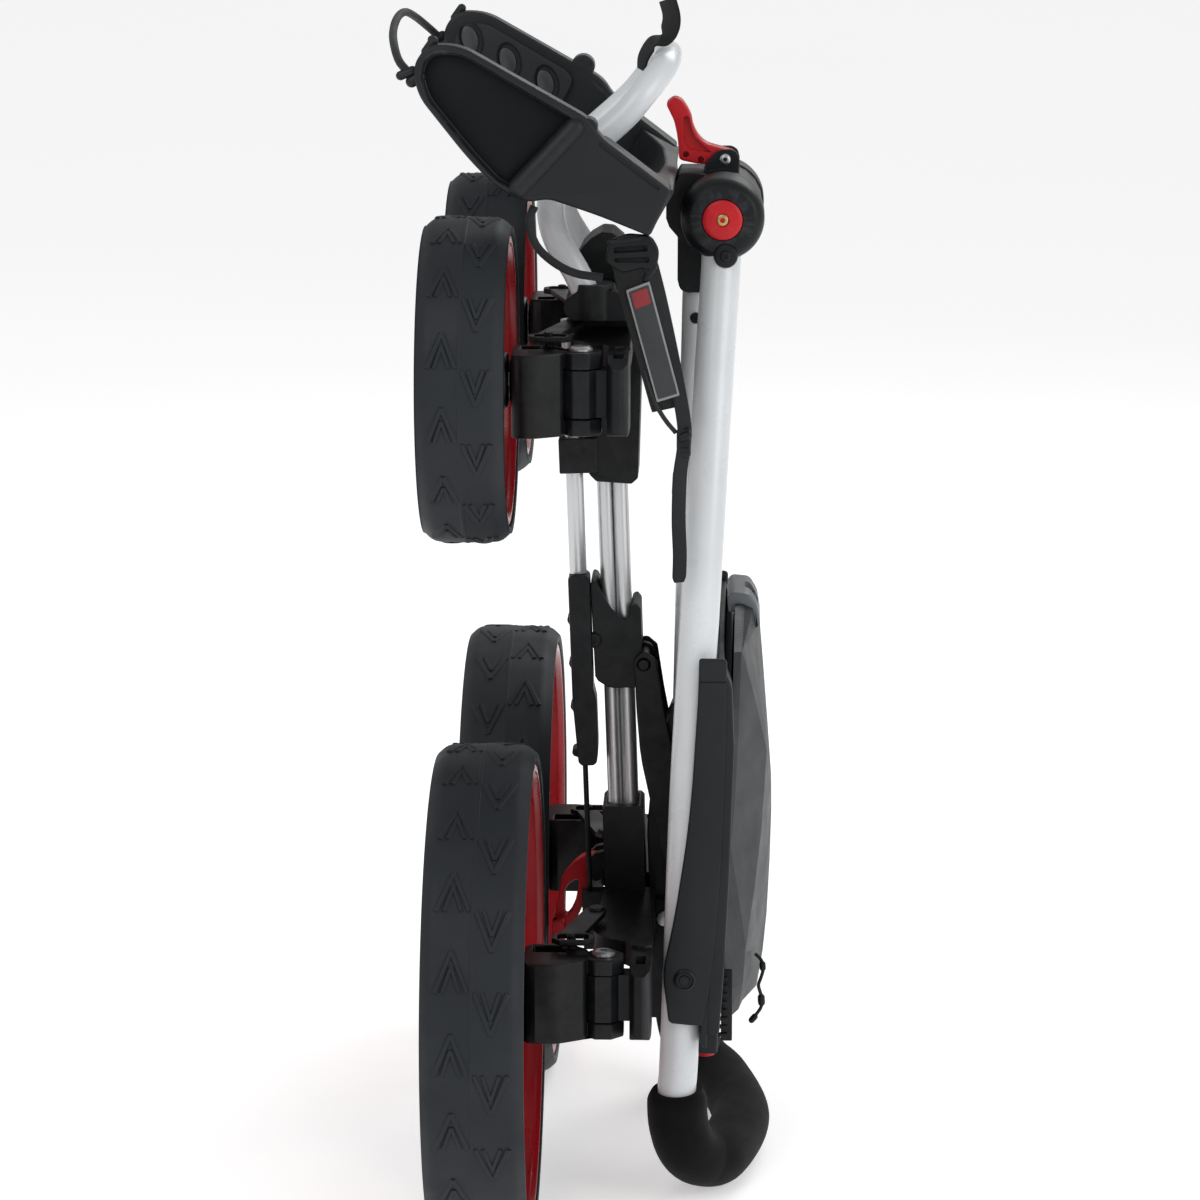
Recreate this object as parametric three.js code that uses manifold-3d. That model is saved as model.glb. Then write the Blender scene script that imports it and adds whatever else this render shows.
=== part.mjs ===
// A four-wheel golf push trolley, folded flat and standing on end.
//
// Frame: +Z up, origin on the floor under the middle of the bounding box. The wheel plane is the YZ plane.
// +Z runs from the rear axle to the front axle, -X is the side that carries the wheels, and -Y is the
// trolley's left side. Lengths are in millimetres.
import * as THREE from "three";
import { mergeVertices } from "three/addons/utils/BufferGeometryUtils.js";
import Module from "manifold-3d";

const wasm = await Module();
wasm.setup();

// ---------------------------------------------------------------- driving dimensions
const CENTRE_X = 0.85; // puts the middle of the bounding box, cords left out, over the origin
const GAP = 0.3; // between touching pieces
const RUNNING = 0.6; // between pieces that turn in each other

const REAR = {
  name: "rear",
  tyreRadius: 152.5,
  tyreWidth: 60,
  tyreDepth: 11.5,
  wheelX: -67,
  wheelZ: 152.5,
  hingeX: 4,
  sideY: 161,
  armZ: 153,
  inset: 7,
  hubRadius: 36,
  segments: 26,
};
const FRONT = {
  name: "front",
  tyreRadius: 98,
  tyreWidth: 52,
  tyreDepth: 10,
  wheelX: -78,
  wheelZ: 521,
  hingeX: -11,
  sideY: 114,
  armZ: 514,
  inset: 0,
  hubRadius: 17,
  segments: 20,
};

const HUB_SIDES = 12;

const ARM = { height: 50, width: 43, knuckleRadius: 13, pinRadius: 4.5, barrelHeight: 29 };
const LINK = { dx: 13.5, dy: 58, pinX: -20, pinY: 14, lift: 3.6, thickness: 3.4, pinRadius: 3 };

const RAIL = { lean: 2, footX: 14.5, footZ: 152, bottom: -22, top: 404, lobe: 4.75, depth: 26, wall: 1.7 };
const SLIDER = { bottom: 157, top: 212, halfX: 15.5, halfY: 19, pinX: 16.5, pinZ: 173 };
const ROD = { x: -23, y: -14, radius: 5.6, bottom: 231, top: 392, guideZ: 296 };

const PIVOT = { x: 38, z: 158, radius: 5, reach: 20.5 }; // the main tube folds about this pin
const STRUT = { footX: 44, footZ: 198, inner: 20.8, outer: 23.8 };
const MAIN_TUBE = { radius: 12.5, wall: 1.6, topX: 61, topZ: 590, footX: 54.8, footZ: 262 };

const BRAKE = { x: -6, z: 188, pinRadius: 2 };

const HINGE = { x: 72.7, z: 611, radius: 25.5, blockHalfY: 27, drumY: 64, boltRadius: 5 };
const CAM = { x: 74, z: 642 };
const BUTTON = { x: 65, y: -76, z: 94, radius: 6.5, travel: 3 };
const CRADLE = { x: 36, z: 626, pitch: 29.4, inner: 118, outer: 134 };
const HANDLE = {
  tube: 12,
  wall: 1.5,
  foam: 19,
  sideY: 112,
  gripX: 88,
  gripZ: 18.7,
  gripTop: 77,
  sides: 10,
};
const HOOP = { tube: 8.5, wall: 1.5, sideY: 60 };

// ---------------------------------------------------------------- materials
const material = (color, roughness, metalness = 0) =>
  new THREE.MeshStandardMaterial({ color, roughness, metalness });
const MAT = {
  rubber: material(0x24282c, 0.8),
  red: material(0xb01420, 0.35),
  plastic: material(0x131517, 0.5),
  grey: material(0x2c3033, 0.55),
  white: material(0xdfe3e4, 0.3, 0.1),
  alloy: material(0xb4b8ba, 0.35, 0.9),
  steel: material(0x8f9396, 0.3, 0.9),
  foam: material(0x151516, 0.95),
  webbing: material(0x101112, 0.9),
};

// ---------------------------------------------------------------- shapes
const rad = THREE.MathUtils.degToRad;
const v3 = (x, y, z) => new THREE.Vector3(x, y, z);

// A closed geometry as a manifold solid, and back.
function solid(geometry) {
  const g = geometry.index ? geometry.toNonIndexed() : geometry.clone();
  const bare = new THREE.BufferGeometry().setAttribute("position", g.getAttribute("position"));
  const merged = mergeVertices(bare, 1e-4);
  return new wasm.Manifold(
    new wasm.Mesh({
      numProp: 3,
      vertProperties: merged.attributes.position.array,
      triVerts: new Uint32Array(merged.index.array),
    }),
  );
}

function geometryOf(body) {
  const m = body.getMesh();
  const g = new THREE.BufferGeometry();
  g.setAttribute("position", new THREE.BufferAttribute(new Float32Array(m.vertProperties), 3));
  g.setIndex(new THREE.BufferAttribute(new Uint32Array(m.triVerts), 1));
  g.computeVertexNormals();
  return g;
}

const join = (...bodies) => bodies.reduce((a, b) => a.add(b));
const moved = (body, x, y, z) => body.translate([x, y, z]);

function turned(body, matrix) {
  return body.transform(matrix.elements);
}

// An outline with each corner rounded by its own radius. Points are [u, v] or [u, v, radius].
function outline(points, radius = 0) {
  const shape = new THREE.Shape();
  const n = points.length;
  points.forEach(([x, y, own], i) => {
    const p = new THREE.Vector2(x, y);
    const before = new THREE.Vector2(...points[(i + n - 1) % n].slice(0, 2)).sub(p);
    const after = new THREE.Vector2(...points[(i + 1) % n].slice(0, 2)).sub(p);
    const r = Math.min(own ?? radius, before.length() * 0.48, after.length() * 0.48);
    const a = p.clone().add(before.setLength(r));
    const b = p.clone().add(after.setLength(r));
    if (i === 0) shape.moveTo(a.x, a.y);
    else shape.lineTo(a.x, a.y);
    if (r > 0) shape.quadraticCurveTo(p.x, p.y, b.x, b.y);
  });
  shape.closePath();
  return shape;
}

const BASIS = {
  XY: new THREE.Matrix4(),
  XZ: new THREE.Matrix4().makeBasis(v3(1, 0, 0), v3(0, 0, 1), v3(0, -1, 0)),
  YZ: new THREE.Matrix4().makeBasis(v3(0, 1, 0), v3(0, 0, 1), v3(1, 0, 0)),
};

// The outline in a plane, as a plate from low to high along the third axis.
function plate(shape, plane, low, high, curveSegments = 1) {
  const g = new THREE.ExtrudeGeometry(shape, { depth: high - low, bevelEnabled: false, curveSegments });
  g.applyMatrix4(BASIS[plane]);
  if (plane === "XY") g.translate(0, 0, low);
  if (plane === "XZ") g.translate(0, high, 0);
  if (plane === "YZ") g.translate(low, 0, 0);
  return solid(g);
}

function box(x, y, z) {
  const g = new THREE.BoxGeometry(x[1] - x[0], y[1] - y[0], z[1] - z[0]);
  g.translate((x[0] + x[1]) / 2, (y[0] + y[1]) / 2, (z[0] + z[1]) / 2);
  return solid(g);
}

// A cylinder along an axis, from low to high, at the two other coordinates.
function rod(axis, radius, low, high, at, sides = 12) {
  const g = new THREE.CylinderGeometry(radius, radius, high - low, sides);
  const middle = (low + high) / 2;
  if (axis === "Z") g.rotateX(Math.PI / 2).translate(at[0], at[1], middle);
  if (axis === "X") g.rotateZ(Math.PI / 2).translate(middle, at[0], at[1]);
  if (axis === "Y") g.translate(at[0], middle, at[1]);
  return solid(g);
}

// An eight-sided post along Z whose flats face the X and Y axes. The radius reaches its edges.
function octagon(radius, low, high) {
  return rod("Z", radius, low, high, [0, 0], 8).rotate([0, 0, 22.5]);
}

// A ring or disc turned about the X axis. The profile lists [x, radius].
function spun(profile, segments) {
  const points = profile.map(([x, r]) => new THREE.Vector2(r, x));
  const g = new THREE.LatheGeometry(points, segments);
  g.rotateZ(-Math.PI / 2);
  const body = solid(g);
  if (body.volume() > 0) return body;
  const back = new THREE.LatheGeometry(points.reverse(), segments);
  back.rotateZ(-Math.PI / 2);
  return solid(back);
}

// A route through points chosen by hand. A tube along it has one ring of vertices at each point.
class Route extends THREE.Curve {
  constructor(points) {
    super();
    this.points = points.map((p) => v3(...p));
  }

  indexAt(u) {
    return Math.round(u * (this.points.length - 1));
  }

  getPointAt(u) {
    return this.points[this.indexAt(u)].clone();
  }

  getTangentAt(u) {
    const i = this.indexAt(u);
    const here = this.points[i];
    const before = this.points[Math.max(i - 1, 0)];
    const after = this.points[Math.min(i + 1, this.points.length - 1)];
    const arriving = here.clone().sub(before).normalize();
    const leaving = after.clone().sub(here).normalize();
    return arriving.add(leaving).normalize();
  }
}

// A round tube along a route; with a wall it is hollow and open at both ends.
function tube(route, radius, sides, wall = 0) {
  const circle = (r) => {
    const points = [];
    for (let i = 0; i < sides; i++) {
      const a = (2 * Math.PI * i) / sides;
      points.push(new THREE.Vector2(r * Math.cos(a), r * Math.sin(a)));
    }
    return points;
  };
  const shape = new THREE.Shape(circle(radius));
  if (wall > 0) shape.holes.push(new THREE.Path(circle(radius - wall).reverse()));
  const steps = route.points.length - 1;
  return solid(new THREE.ExtrudeGeometry(shape, { steps, extrudePath: route, bevelEnabled: false }));
}

// ---------------------------------------------------------------- the scene
const trolley = new THREE.Group();
trolley.position.x = CENTRE_X;
const part = new THREE.Group();
part.add(trolley);

function add(group, name, body, mat) {
  const mesh = new THREE.Mesh(geometryOf(body), MAT[mat].clone());
  mesh.name = name;
  group.add(mesh);
  return mesh;
}

// ---------------------------------------------------------------- rail
// The spine is a twin-lobe aluminium extrusion that leans back towards the wheels as it rises.
const railFrame = new THREE.Group();
railFrame.position.set(RAIL.footX, 0, RAIL.footZ);
railFrame.rotation.y = -rad(RAIL.lean);
railFrame.updateMatrix();
trolley.add(railFrame);

function railSection() {
  const r = RAIL.lobe;
  const straight = RAIL.depth / 2 - r;
  const shape = new THREE.Shape();
  shape.moveTo(0, -straight);
  shape.absarc(r, -straight, r, Math.PI, 2 * Math.PI, false);
  shape.absarc(r, straight, r, 0, Math.PI, false);
  shape.lineTo(0, straight);
  shape.absarc(-r, straight, r, 0, Math.PI, false);
  shape.absarc(-r, -straight, r, Math.PI, 2 * Math.PI, false);
  return shape;
}

function railBore() {
  const half = RAIL.lobe - RAIL.wall;
  const straight = RAIL.depth / 2 - RAIL.lobe;
  return [-1, 1].map((side) => {
    const x = side * RAIL.lobe;
    return box([x - half, x + half], [-straight, straight], [RAIL.bottom - 5, RAIL.top + 5]);
  });
}

function makeRail() {
  const body = plate(railSection(), "XY", RAIL.bottom, RAIL.top, 5);
  return railBore().reduce((a, b) => a.subtract(b), body);
}

// The hole that a housing needs round the rail, in the trolley's own frame.
function railHole() {
  const clear = 0.5;
  const half = [2 * RAIL.lobe + clear, RAIL.depth / 2 + clear];
  const block = box([-half[0], half[0]], [-half[1], half[1]], [RAIL.bottom - 20, RAIL.top + 0.4]);
  return turned(block, railFrame.matrix);
}

// A round hole through the rail group for a rod that runs beside the rail.
function rodHole(radius, low, high) {
  return turned(rod("Z", radius, low, high, [ROD.x, ROD.y]), railFrame.matrix);
}

// ---------------------------------------------------------------- wheels and swing arms
// A corner is drawn for the left side about its own hinge pin, and mirrored for the right side.
function makeTyre(c) {
  const w = c.tyreWidth / 2;
  const r = c.tyreRadius;
  const bead = r - c.tyreDepth;
  const shoulder = 5;
  return spun(
    [
      [-w, bead],
      [-w, r - shoulder],
      [-w + shoulder, r],
      [w - shoulder, r],
      [w, r - shoulder],
      [w, bead],
      [-w, bead],
    ],
    c.segments,
  );
}

function makeRim(c) {
  const w = c.tyreWidth / 2 - 2;
  const outer = c.tyreRadius - c.tyreDepth - 0.8;
  const barrel = spun(
    [
      [-w, outer - 5],
      [-w, outer],
      [w, outer],
      [w, outer - 5],
      [-w, outer - 5],
    ],
    c.segments,
  );
  const discX = [-w + 7, -w + 13];
  const bossRadius = c.hubRadius * 0.62 + 6;
  let disc = rod("X", outer - 2, discX[0], discX[1], [0, 0], c.segments);
  const windows = 5;
  const outside = outer - 13;
  const inside = Math.max(bossRadius + 7, outside - 60);
  const halfIn = (Math.PI * inside) / windows - 6;
  const halfOut = (Math.PI * outside) / windows - 10;
  const window = outline(
    [
      [-halfIn, inside],
      [halfIn, inside],
      [halfOut, outside * 0.93],
      [0, outside],
      [-halfOut, outside * 0.93],
    ],
  );
  const cut = plate(window, "YZ", discX[0] - 2, discX[1] + 2, 1);
  for (let i = 0; i < windows; i++) disc = disc.subtract(cut.rotate([(360 * i) / windows, 0, 0]));
  const boss = rod("X", bossRadius, -w + 2, 2, [0, 0], 16);
  const bore = rod("X", 10 + 2 * GAP, -w - 10, w + 10, [0, 0]);
  return join(barrel, disc, boss).subtract(bore);
}

// The hub sleeve runs through the rim's boss, with a drum on the inner side and a cap outside.
function makeHub(c) {
  const w = c.tyreWidth / 2;
  const r = c.hubRadius;
  const end = w - c.inset - 2;
  const axle = 5 + 2 * GAP;
  return spun(
    [
      [-w + 6, axle],
      [-w + 6, 10],
      [2 + GAP, 10],
      [2 + GAP, r],
      [end, r],
      [end - 7, r - 5],
      [end - 7, 13],
      [end, axle],
      [-w + 6, axle],
    ],
    HUB_SIDES,
  );
}

// The axle is fixed in the arm, and its head holds the wheel on from outside.
function makeAxle(c) {
  const w = c.tyreWidth / 2;
  const wheelX = c.wheelX - c.hingeX;
  const shaft = rod("X", 5, wheelX - w - 1, -24, [0, 0]);
  const head = spun(
    [
      [wheelX - w - 4.5, 0],
      [wheelX - w - 4.5, 11],
      [wheelX - w - 2, 14],
      [wheelX - w + 0.5, 14],
      [wheelX - w + 0.5, 0],
    ],
    HUB_SIDES,
  );
  return join(shaft, head);
}

// The swing arm: a ribbed box that carries the axle, and a fork of two knuckles on the hinge pin.
function makeArm(c) {
  const drop = c.wheelZ - c.armZ;
  const half = ARM.width / 2;
  const low = -ARM.height / 2;
  const high = ARM.height / 2;
  const wheelFace = c.wheelX - c.hingeX + c.tyreWidth / 2;
  const start = wheelFace - c.inset;
  const plan = outline(
    [
      [start, -half + 3],
      [start + 5, -half],
      [-27, -half],
      [-9.5, -11.5],
      [-9.5, 12],
      [-20, half],
      [start + 5, half],
      [start, half - 3],
    ],
    2.5,
  );
  let body = plate(plan, "XY", low, high);
  body = join(body, octagon(ARM.knuckleRadius + 0.4, low, high));
  const slot = ARM.barrelHeight / 2 + RUNNING;
  const clear = ARM.knuckleRadius + RUNNING;
  const gap = join(
    rod("Z", clear, -slot, slot, [0, 0], 16),
    box([0, 40], [-30, 30], [-slot, slot]),
  );
  body = body.subtract(gap);
  const pocketTop = box([start + 5, -22], [5, half - 3.5], [high - 20, high + 5]);
  const pocketBelow = box([start + 5, -22], [-14, 14], [low - 5, low + 9]);
  body = body.subtract(pocketTop).subtract(pocketBelow);
  const boss = rod("X", 13, start - 1.2, start + 4, [0, drop], 16);
  const bore = rod("X", 5 + GAP, wheelFace - 10, -23.7, [0, drop]);
  const pinBore = rod("Z", ARM.pinRadius + GAP, low - 5, high + 5, [0, 0]);
  const linkPin = rod("Z", LINK.pinRadius, high - 2, high + 9, [LINK.pinX, LINK.pinY]);
  const pad = rod("Z", 6, high - 20, high, [LINK.pinX, LINK.pinY]);
  return join(body, boss, pad, linkPin).subtract(bore).subtract(pinBore);
}

function makeHingePin() {
  const h = ARM.height / 2;
  const shaft = rod("Z", ARM.pinRadius, -h - 1, h + 0.5, [0, 0]);
  const head = rod("Z", 7.5, h + GAP, h + 3, [0, 0], 12);
  return join(shaft, head);
}

// The shift link slides across the trolley; the arm's pin runs in the slot at its outer end.
function makeLink() {
  const low = ARM.height / 2 + LINK.lift;
  const high = low + LINK.thickness;
  const { pinX: x, pinY: y, dx, dy } = LINK;
  const bar = outline(
    [
      [x - 5, y - 6],
      [x + 4, y - 6],
      [x + dx + 6, y + dy - 4],
      [x + dx + 6, y + dy + 6],
      [x + dx - 6, y + dy + 6],
      [x - 8, y + 6],
    ],
    4,
  );
  const slotted = (left, right, half, radius) =>
    outline(
      [
        [x - left, y - half],
        [x + right, y - half],
        [x + right, y + half],
        [x - left, y + half],
      ],
      radius,
    );
  const end = plate(slotted(12, 14, 8.5, 5), "XY", low, high);
  const slot = plate(slotted(8.5, 10.5, 5.4, 1.5), "XY", low - 1, high + 1);
  const rivet = rod("Z", 5, low, high + 1.6, [x + dx, y + dy]);
  return join(plate(bar, "XY", low, high), end).subtract(slot).add(rivet);
}

function addCorner(c, side) {
  const label = `${c.name}_${side < 0 ? "left" : "right"}`;
  const corner = new THREE.Group();
  corner.position.set(c.hingeX, side * c.sideY, c.armZ);
  corner.scale.y = -side; // drawn for the left side
  trolley.add(corner);
  add(corner, `${label}_arm`, makeArm(c), "plastic");
  add(corner, `${label}_hinge_pin`, makeHingePin(), "steel");
  add(corner, `${label}_shift_link`, makeLink(), "plastic");
  const axle = add(corner, `${label}_axle`, makeAxle(c), "steel");
  axle.position.z = c.wheelZ - c.armZ;
  const wheel = new THREE.Group();
  wheel.position.set(c.wheelX - c.hingeX, 0, c.wheelZ - c.armZ);
  corner.add(wheel);
  add(wheel, `${label}_tyre`, makeTyre(c), "rubber");
  add(wheel, `${label}_rim`, makeRim(c), "red");
  add(wheel, `${label}_hub`, makeHub(c), "plastic");
}

// ---------------------------------------------------------------- housings
// One end of a crossbeam, for the left side, about the hinge pin: the barrel between the knuckles, the
// cheek beside it, and the top deck that reaches in to the rail.
function beamEnd(c) {
  const b = ARM.barrelHeight / 2;
  const h = ARM.height / 2;
  const barrel = octagon(ARM.knuckleRadius - 0.5, -b, b);
  const neck = box([0, 22], [-7, 7], [-b, b]);
  const cheekPlan = outline(
    [
      [16, -14],
      [21, -20],
      [28, -16],
      [29, -4],
      [29, 24],
      [16, 24],
    ],
    3,
  );
  let cheek = plate(cheekPlan, "XY", -h, h);
  const side = outline(
    [
      [-40, -h + 12],
      [-12, -h],
      [40, -h],
      [40, h - 2],
      [-6, h - 2],
      [-40, h - 20],
    ],
    2,
  );
  cheek = cheek.intersect(plate(side, "YZ", 0, 40));
  const pocket = box([19.5, 25.5], [-8, 6], [h - 12, h + 2]);
  const inner = c.sideY - 17;
  const deckPlan = outline(
    [
      [16, 18],
      [29, 18],
      [29, inner],
      [-4, inner],
      [-8, 60],
      [-8, 46],
      [6, 30],
      [16, 27],
    ],
    4,
  );
  const deck = plate(deckPlan, "XY", h - 15, h);
  const rib = box([20, 27], [20, inner], [-h + 10, h - 6]);
  const pinBore = rod("Z", ARM.pinRadius + GAP, -h - 5, h + 5, [0, 0]);
  return join(barrel, neck, cheek.subtract(pocket), deck, rib).subtract(pinBore);
}

function bothEnds(c) {
  const left = beamEnd(c);
  const right = left.mirror([0, 1, 0]);
  return join(
    moved(left, c.hingeX, -c.sideY, c.armZ),
    moved(right, c.hingeX, c.sideY, c.armZ),
  );
}

function makeFrontHousing() {
  const profile = outline(
    [
      [-9, 442],
      [21, 440],
      [22, 500],
      [24, 548],
      [14, 590],
      [2, 600],
      [-12, 592],
      [-22, 572],
      [-20, 548],
      [-14, 505],
    ],
    4,
  );
  const sleeve = plate(profile, "XZ", -21, 21);
  const shoulder = plate(
    outline(
      [
        [-22, 550],
        [22, 550],
        [16, 566],
        [-8, 572],
        [-24, 562],
      ],
      4,
    ),
    "XZ",
    -70,
    70,
  );
  const guide = turned(
    box([ROD.x - 9, -8], [ROD.y - 9, ROD.y + 9], [ROD.guideZ, ROD.guideZ + 22]),
    railFrame.matrix,
  );
  const leftSocket = rod("Z", HOOP.tube + 4.5, 550, 572, [-5, -HOOP.sideY], 16);
  const rightSocket = leftSocket.mirror([0, 1, 0]);
  return join(bothEnds(FRONT), sleeve, shoulder, guide, leftSocket, rightSocket)
    .subtract(railHole())
    .subtract(rodHole(ROD.radius + RUNNING, ROD.guideZ - 10, 425))
    .subtract(tube(hoopRoute(), HOOP.tube + 0.5, 10));
}

function makeRearHousing() {
  const sleeve = plate(
    outline(
      [
        [1.6, 131],
        [27, 131],
        [27, 150],
        [24.8, 232],
        [-1.2, 232],
      ],
      2,
    ),
    "XZ",
    -20,
    20,
  );
  const earOutline = outline(
    [
      [24, 92],
      [38, 92],
      [46, 106],
      [49, 160],
      [46, 170],
      [24, 172],
    ],
    4,
  );
  const ear = plate(earOutline, "XZ", -20, -14.6);
  const foot = plate(
    outline(
      [
        [22, 92],
        [38, 92],
        [42, 104],
        [34, 120],
        [22, 134],
      ],
      3,
    ),
    "XZ",
    -20,
    20,
  );
  const brakeEar = outline(
    [
      [-9, 176],
      [2, 180],
      [2, 196],
      [-4, 198],
      [-12, 190],
    ],
    3,
  );
  const brakeEars = join(plate(brakeEar, "XZ", -2, 4), plate(brakeEar, "XZ", 14, 20));
  const wireGuide = box([ROD.x - 5, -6], [ROD.y - 6, ROD.y + 6], [-14, 24]);
  const wireHole = rod("Z", 2.4, -60, 120, [ROD.x, ROD.y]);
  return join(bothEnds(REAR), sleeve, ear, ear.mirror([0, 1, 0]), foot, brakeEars)
    .add(turned(wireGuide, railFrame.matrix))
    .subtract(railHole())
    .subtract(turned(wireHole, railFrame.matrix))
    .subtract(rod("Y", PIVOT.radius + GAP, -30, 30, [PIVOT.x, PIVOT.z], 16))
    .add(rod("Y", BRAKE.pinRadius, 0, 18, [BRAKE.x, BRAKE.z]));
}

// ---------------------------------------------------------------- base hoop
// The bag's foot rests in this hoop: two bent legs joined by a crossbar.
function hoopRoute() {
  const leg = [
    [-5, 553],
    [-15, 577],
    [-28, 600],
    [-31, 622],
    [-22, 641],
    [12, 672],
  ];
  const y = HOOP.sideY;
  const left = leg.map(([x, z]) => [x, -y, z]);
  const bend = [
    [25, -y + 3, 687],
    [35, -y + 16, 699],
    [38, -y + 34, 703],
  ];
  const right = [...left, ...bend].map(([x, py, z]) => [x, -py, z]).reverse();
  return new Route([...left, ...bend, [38.5, 0, 704], ...right]);
}

// ---------------------------------------------------------------- slider, rods and strut
function makeSlider() {
  const { halfX, halfY, bottom, top, pinX, pinZ } = SLIDER;
  const profile = outline(
    [
      [-halfX + 1, bottom + 6],
      [-halfX + 10, bottom],
      [halfX, bottom],
      [halfX, top - 2],
      [halfX - 5, top],
      [halfX - 8, top - 12],
      [-2, top - 6],
      [-halfX + 3, top + 15],
      [-halfX, top + 14],
    ],
    2,
  );
  const clear = 0.5;
  const bore = box(
    [-2 * RAIL.lobe - clear, 2 * RAIL.lobe + clear],
    [-RAIL.depth / 2 - clear, RAIL.depth / 2 + clear],
    [bottom - 10, top + 30],
  );
  const boss = rod("Y", 6, -halfY, halfY, [pinX, pinZ]);
  const pin = rod("Y", 3.5, -STRUT.outer - 2, STRUT.outer + 2, [pinX, pinZ]);
  const room = box([halfX - 6, halfX + 10], [-halfY + 6, halfY - 6], [pinZ - 9, pinZ + 9]);
  return join(plate(profile, "XZ", -halfY, halfY), boss).subtract(room).subtract(bore).add(pin);
}

// The grip bar holds the push rod above and the brake wire below.
function makeGripBar() {
  const face = -SLIDER.halfX - GAP;
  const profile = outline(
    [
      [face, ROD.bottom - GAP],
      [face - 13.5, ROD.bottom - GAP],
      [face - 13.5, 208],
      [face - 13.5, 150],
      [face - 11, 108],
      [face + 0.5, 108],
      [face + 1.6, 120],
      [face + 1.6, 152],
      [face, 156],
    ],
    2,
  );
  const bumps = [116, 146, 174, 202].map((z) => rod("Y", 3, -20, -6, [face - 12.2, z], 8));
  return join(plate(profile, "XZ", -23, -3), ...bumps);
}

// The strut's upper pin is on the slider; its foot lies beside a stub shaft on the tube socket.
const strutPin = v3(SLIDER.pinX, 0, SLIDER.pinZ).applyMatrix4(railFrame.matrix);

function makeStrut() {
  const { footX, footZ, inner, outer } = STRUT;
  const { x, z } = strutPin;
  const profile = outline(
    [
      [x - 6, z + 8],
      [x + 7, z + 8],
      [x + 13, z - 30],
      [footX + 9, footZ + 20],
      [footX + 7, footZ - 7],
      [footX - 5, footZ - 7],
      [x - 2, z - 60],
      [x - 5, z - 25],
    ],
    5,
  );
  const left = plate(profile, "XZ", -outer, -inner);
  const right = left.mirror([0, 1, 0]);
  const bridge = box([x + 4, x + 8], [-outer, outer], [z - 18, z - 8]);
  return join(left, right, bridge).subtract(rod("Y", 3.5 + GAP, -60, 60, [x, z]));
}

// ---------------------------------------------------------------- main tube
function mainTubeRoute() {
  return new Route([
    [MAIN_TUBE.footX, 0, MAIN_TUBE.footZ],
    [MAIN_TUBE.topX, 0, MAIN_TUBE.topZ],
  ]);
}

function makeTubeSocket() {
  const profile = outline(
    [
      [29, 164],
      [47, 158],
      [52, 198],
      [56, 228],
      [68, 250],
      [70.5, 304],
      [69, 308],
      [48, 308],
      [37, 280],
      [30, 250],
      [27, 215],
    ],
    3,
  );
  const knuckle = rod("Y", 10, -14, 14, [PIVOT.x, PIVOT.z], 16);
  const cup = plate(
    outline(
      [
        [37, 258],
        [68, 250],
        [70.5, 304],
        [69, 308],
        [48, 308],
        [38.5, 284],
      ],
      3,
    ),
    "XZ",
    -16.5,
    16.5,
  );
  const stub = rod("Y", 3.2, -STRUT.inner + 0.5, STRUT.inner - 0.5, [STRUT.footX, STRUT.footZ]);
  return join(plate(profile, "XZ", -14, 14), knuckle, cup)
    .subtract(tube(mainTubeRoute(), MAIN_TUBE.radius + 0.5, 16))
    .subtract(rod("Y", PIVOT.radius + RUNNING, -30, 30, [PIVOT.x, PIVOT.z], 16))
    .add(stub);
}

// ---------------------------------------------------------------- hinge block and cradle
function makeHingeBlock() {
  const { x, z, radius, blockHalfY: y } = HINGE;
  const barrel = rod("Y", radius - 1, -y, y, [x, z], 20);
  const body = plate(
    outline(
      [
        [38, 604],
        [50, 590],
        [70, 588],
        [76, 596],
        [76, 630],
        [60, 635],
        [44, 635],
        [38, 629],
      ],
      3,
    ),
    "XZ",
    -y + 1,
    y - 1,
  );
  const sleeve = plate(
    outline(
      [
        [45, 566],
        [48, 560],
        [74, 560],
        [77, 566],
        [77, 600],
        [45, 600],
      ],
      2,
    ),
    "XZ",
    -17,
    17,
  );
  const cheek = outline(
    [
      [60, 624],
      [82, 621],
      [83, 643],
      [80, 648],
      [70, 648],
      [62, 640],
    ],
    2,
  );
  const cheeks = join(plate(cheek, "XZ", -12, -9), plate(cheek, "XZ", 9, 12));
  const leverPin = rod("Y", 2.2, -13.5, 13.5, [CAM.x, CAM.z]);
  const cradleSeat = box([-60, 4.6], [-40, 40], [-17, 13]);
  return join(barrel, body, sleeve, cheeks, leverPin)
    .subtract(turned(cradleSeat, cradleFrame.matrix))
    .subtract(tube(mainTubeRoute(), MAIN_TUBE.radius + 0.5, 16))
    .subtract(rod("Y", HINGE.boltRadius + RUNNING, -50, 50, [x, z], 16));
}

const cradleFrame = new THREE.Group();
cradleFrame.position.set(CRADLE.x, 0, CRADLE.z);
cradleFrame.rotation.y = rad(CRADLE.pitch);
cradleFrame.updateMatrix();
trolley.add(cradleFrame);

// In the cradle's frame the arms run along -X. The outline is the side view of the left arm.
function cradleArmOutline() {
  return outline(
    [
      [1, 13, 3],
      [-51, 20, 8],
      [-62, 26, 6],
      [-148, 26, 16],
      [-165, 17, 12],
      [-167, 2, 12],
      [-156, -12, 12],
      [-112, -30, 30],
      [-87, -37, 12],
      [-69, -35, 6],
      [-60, -27, 6],
      [-28, -21, 8],
      [3, -17, 3],
    ],
    6,
  );
}

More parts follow.
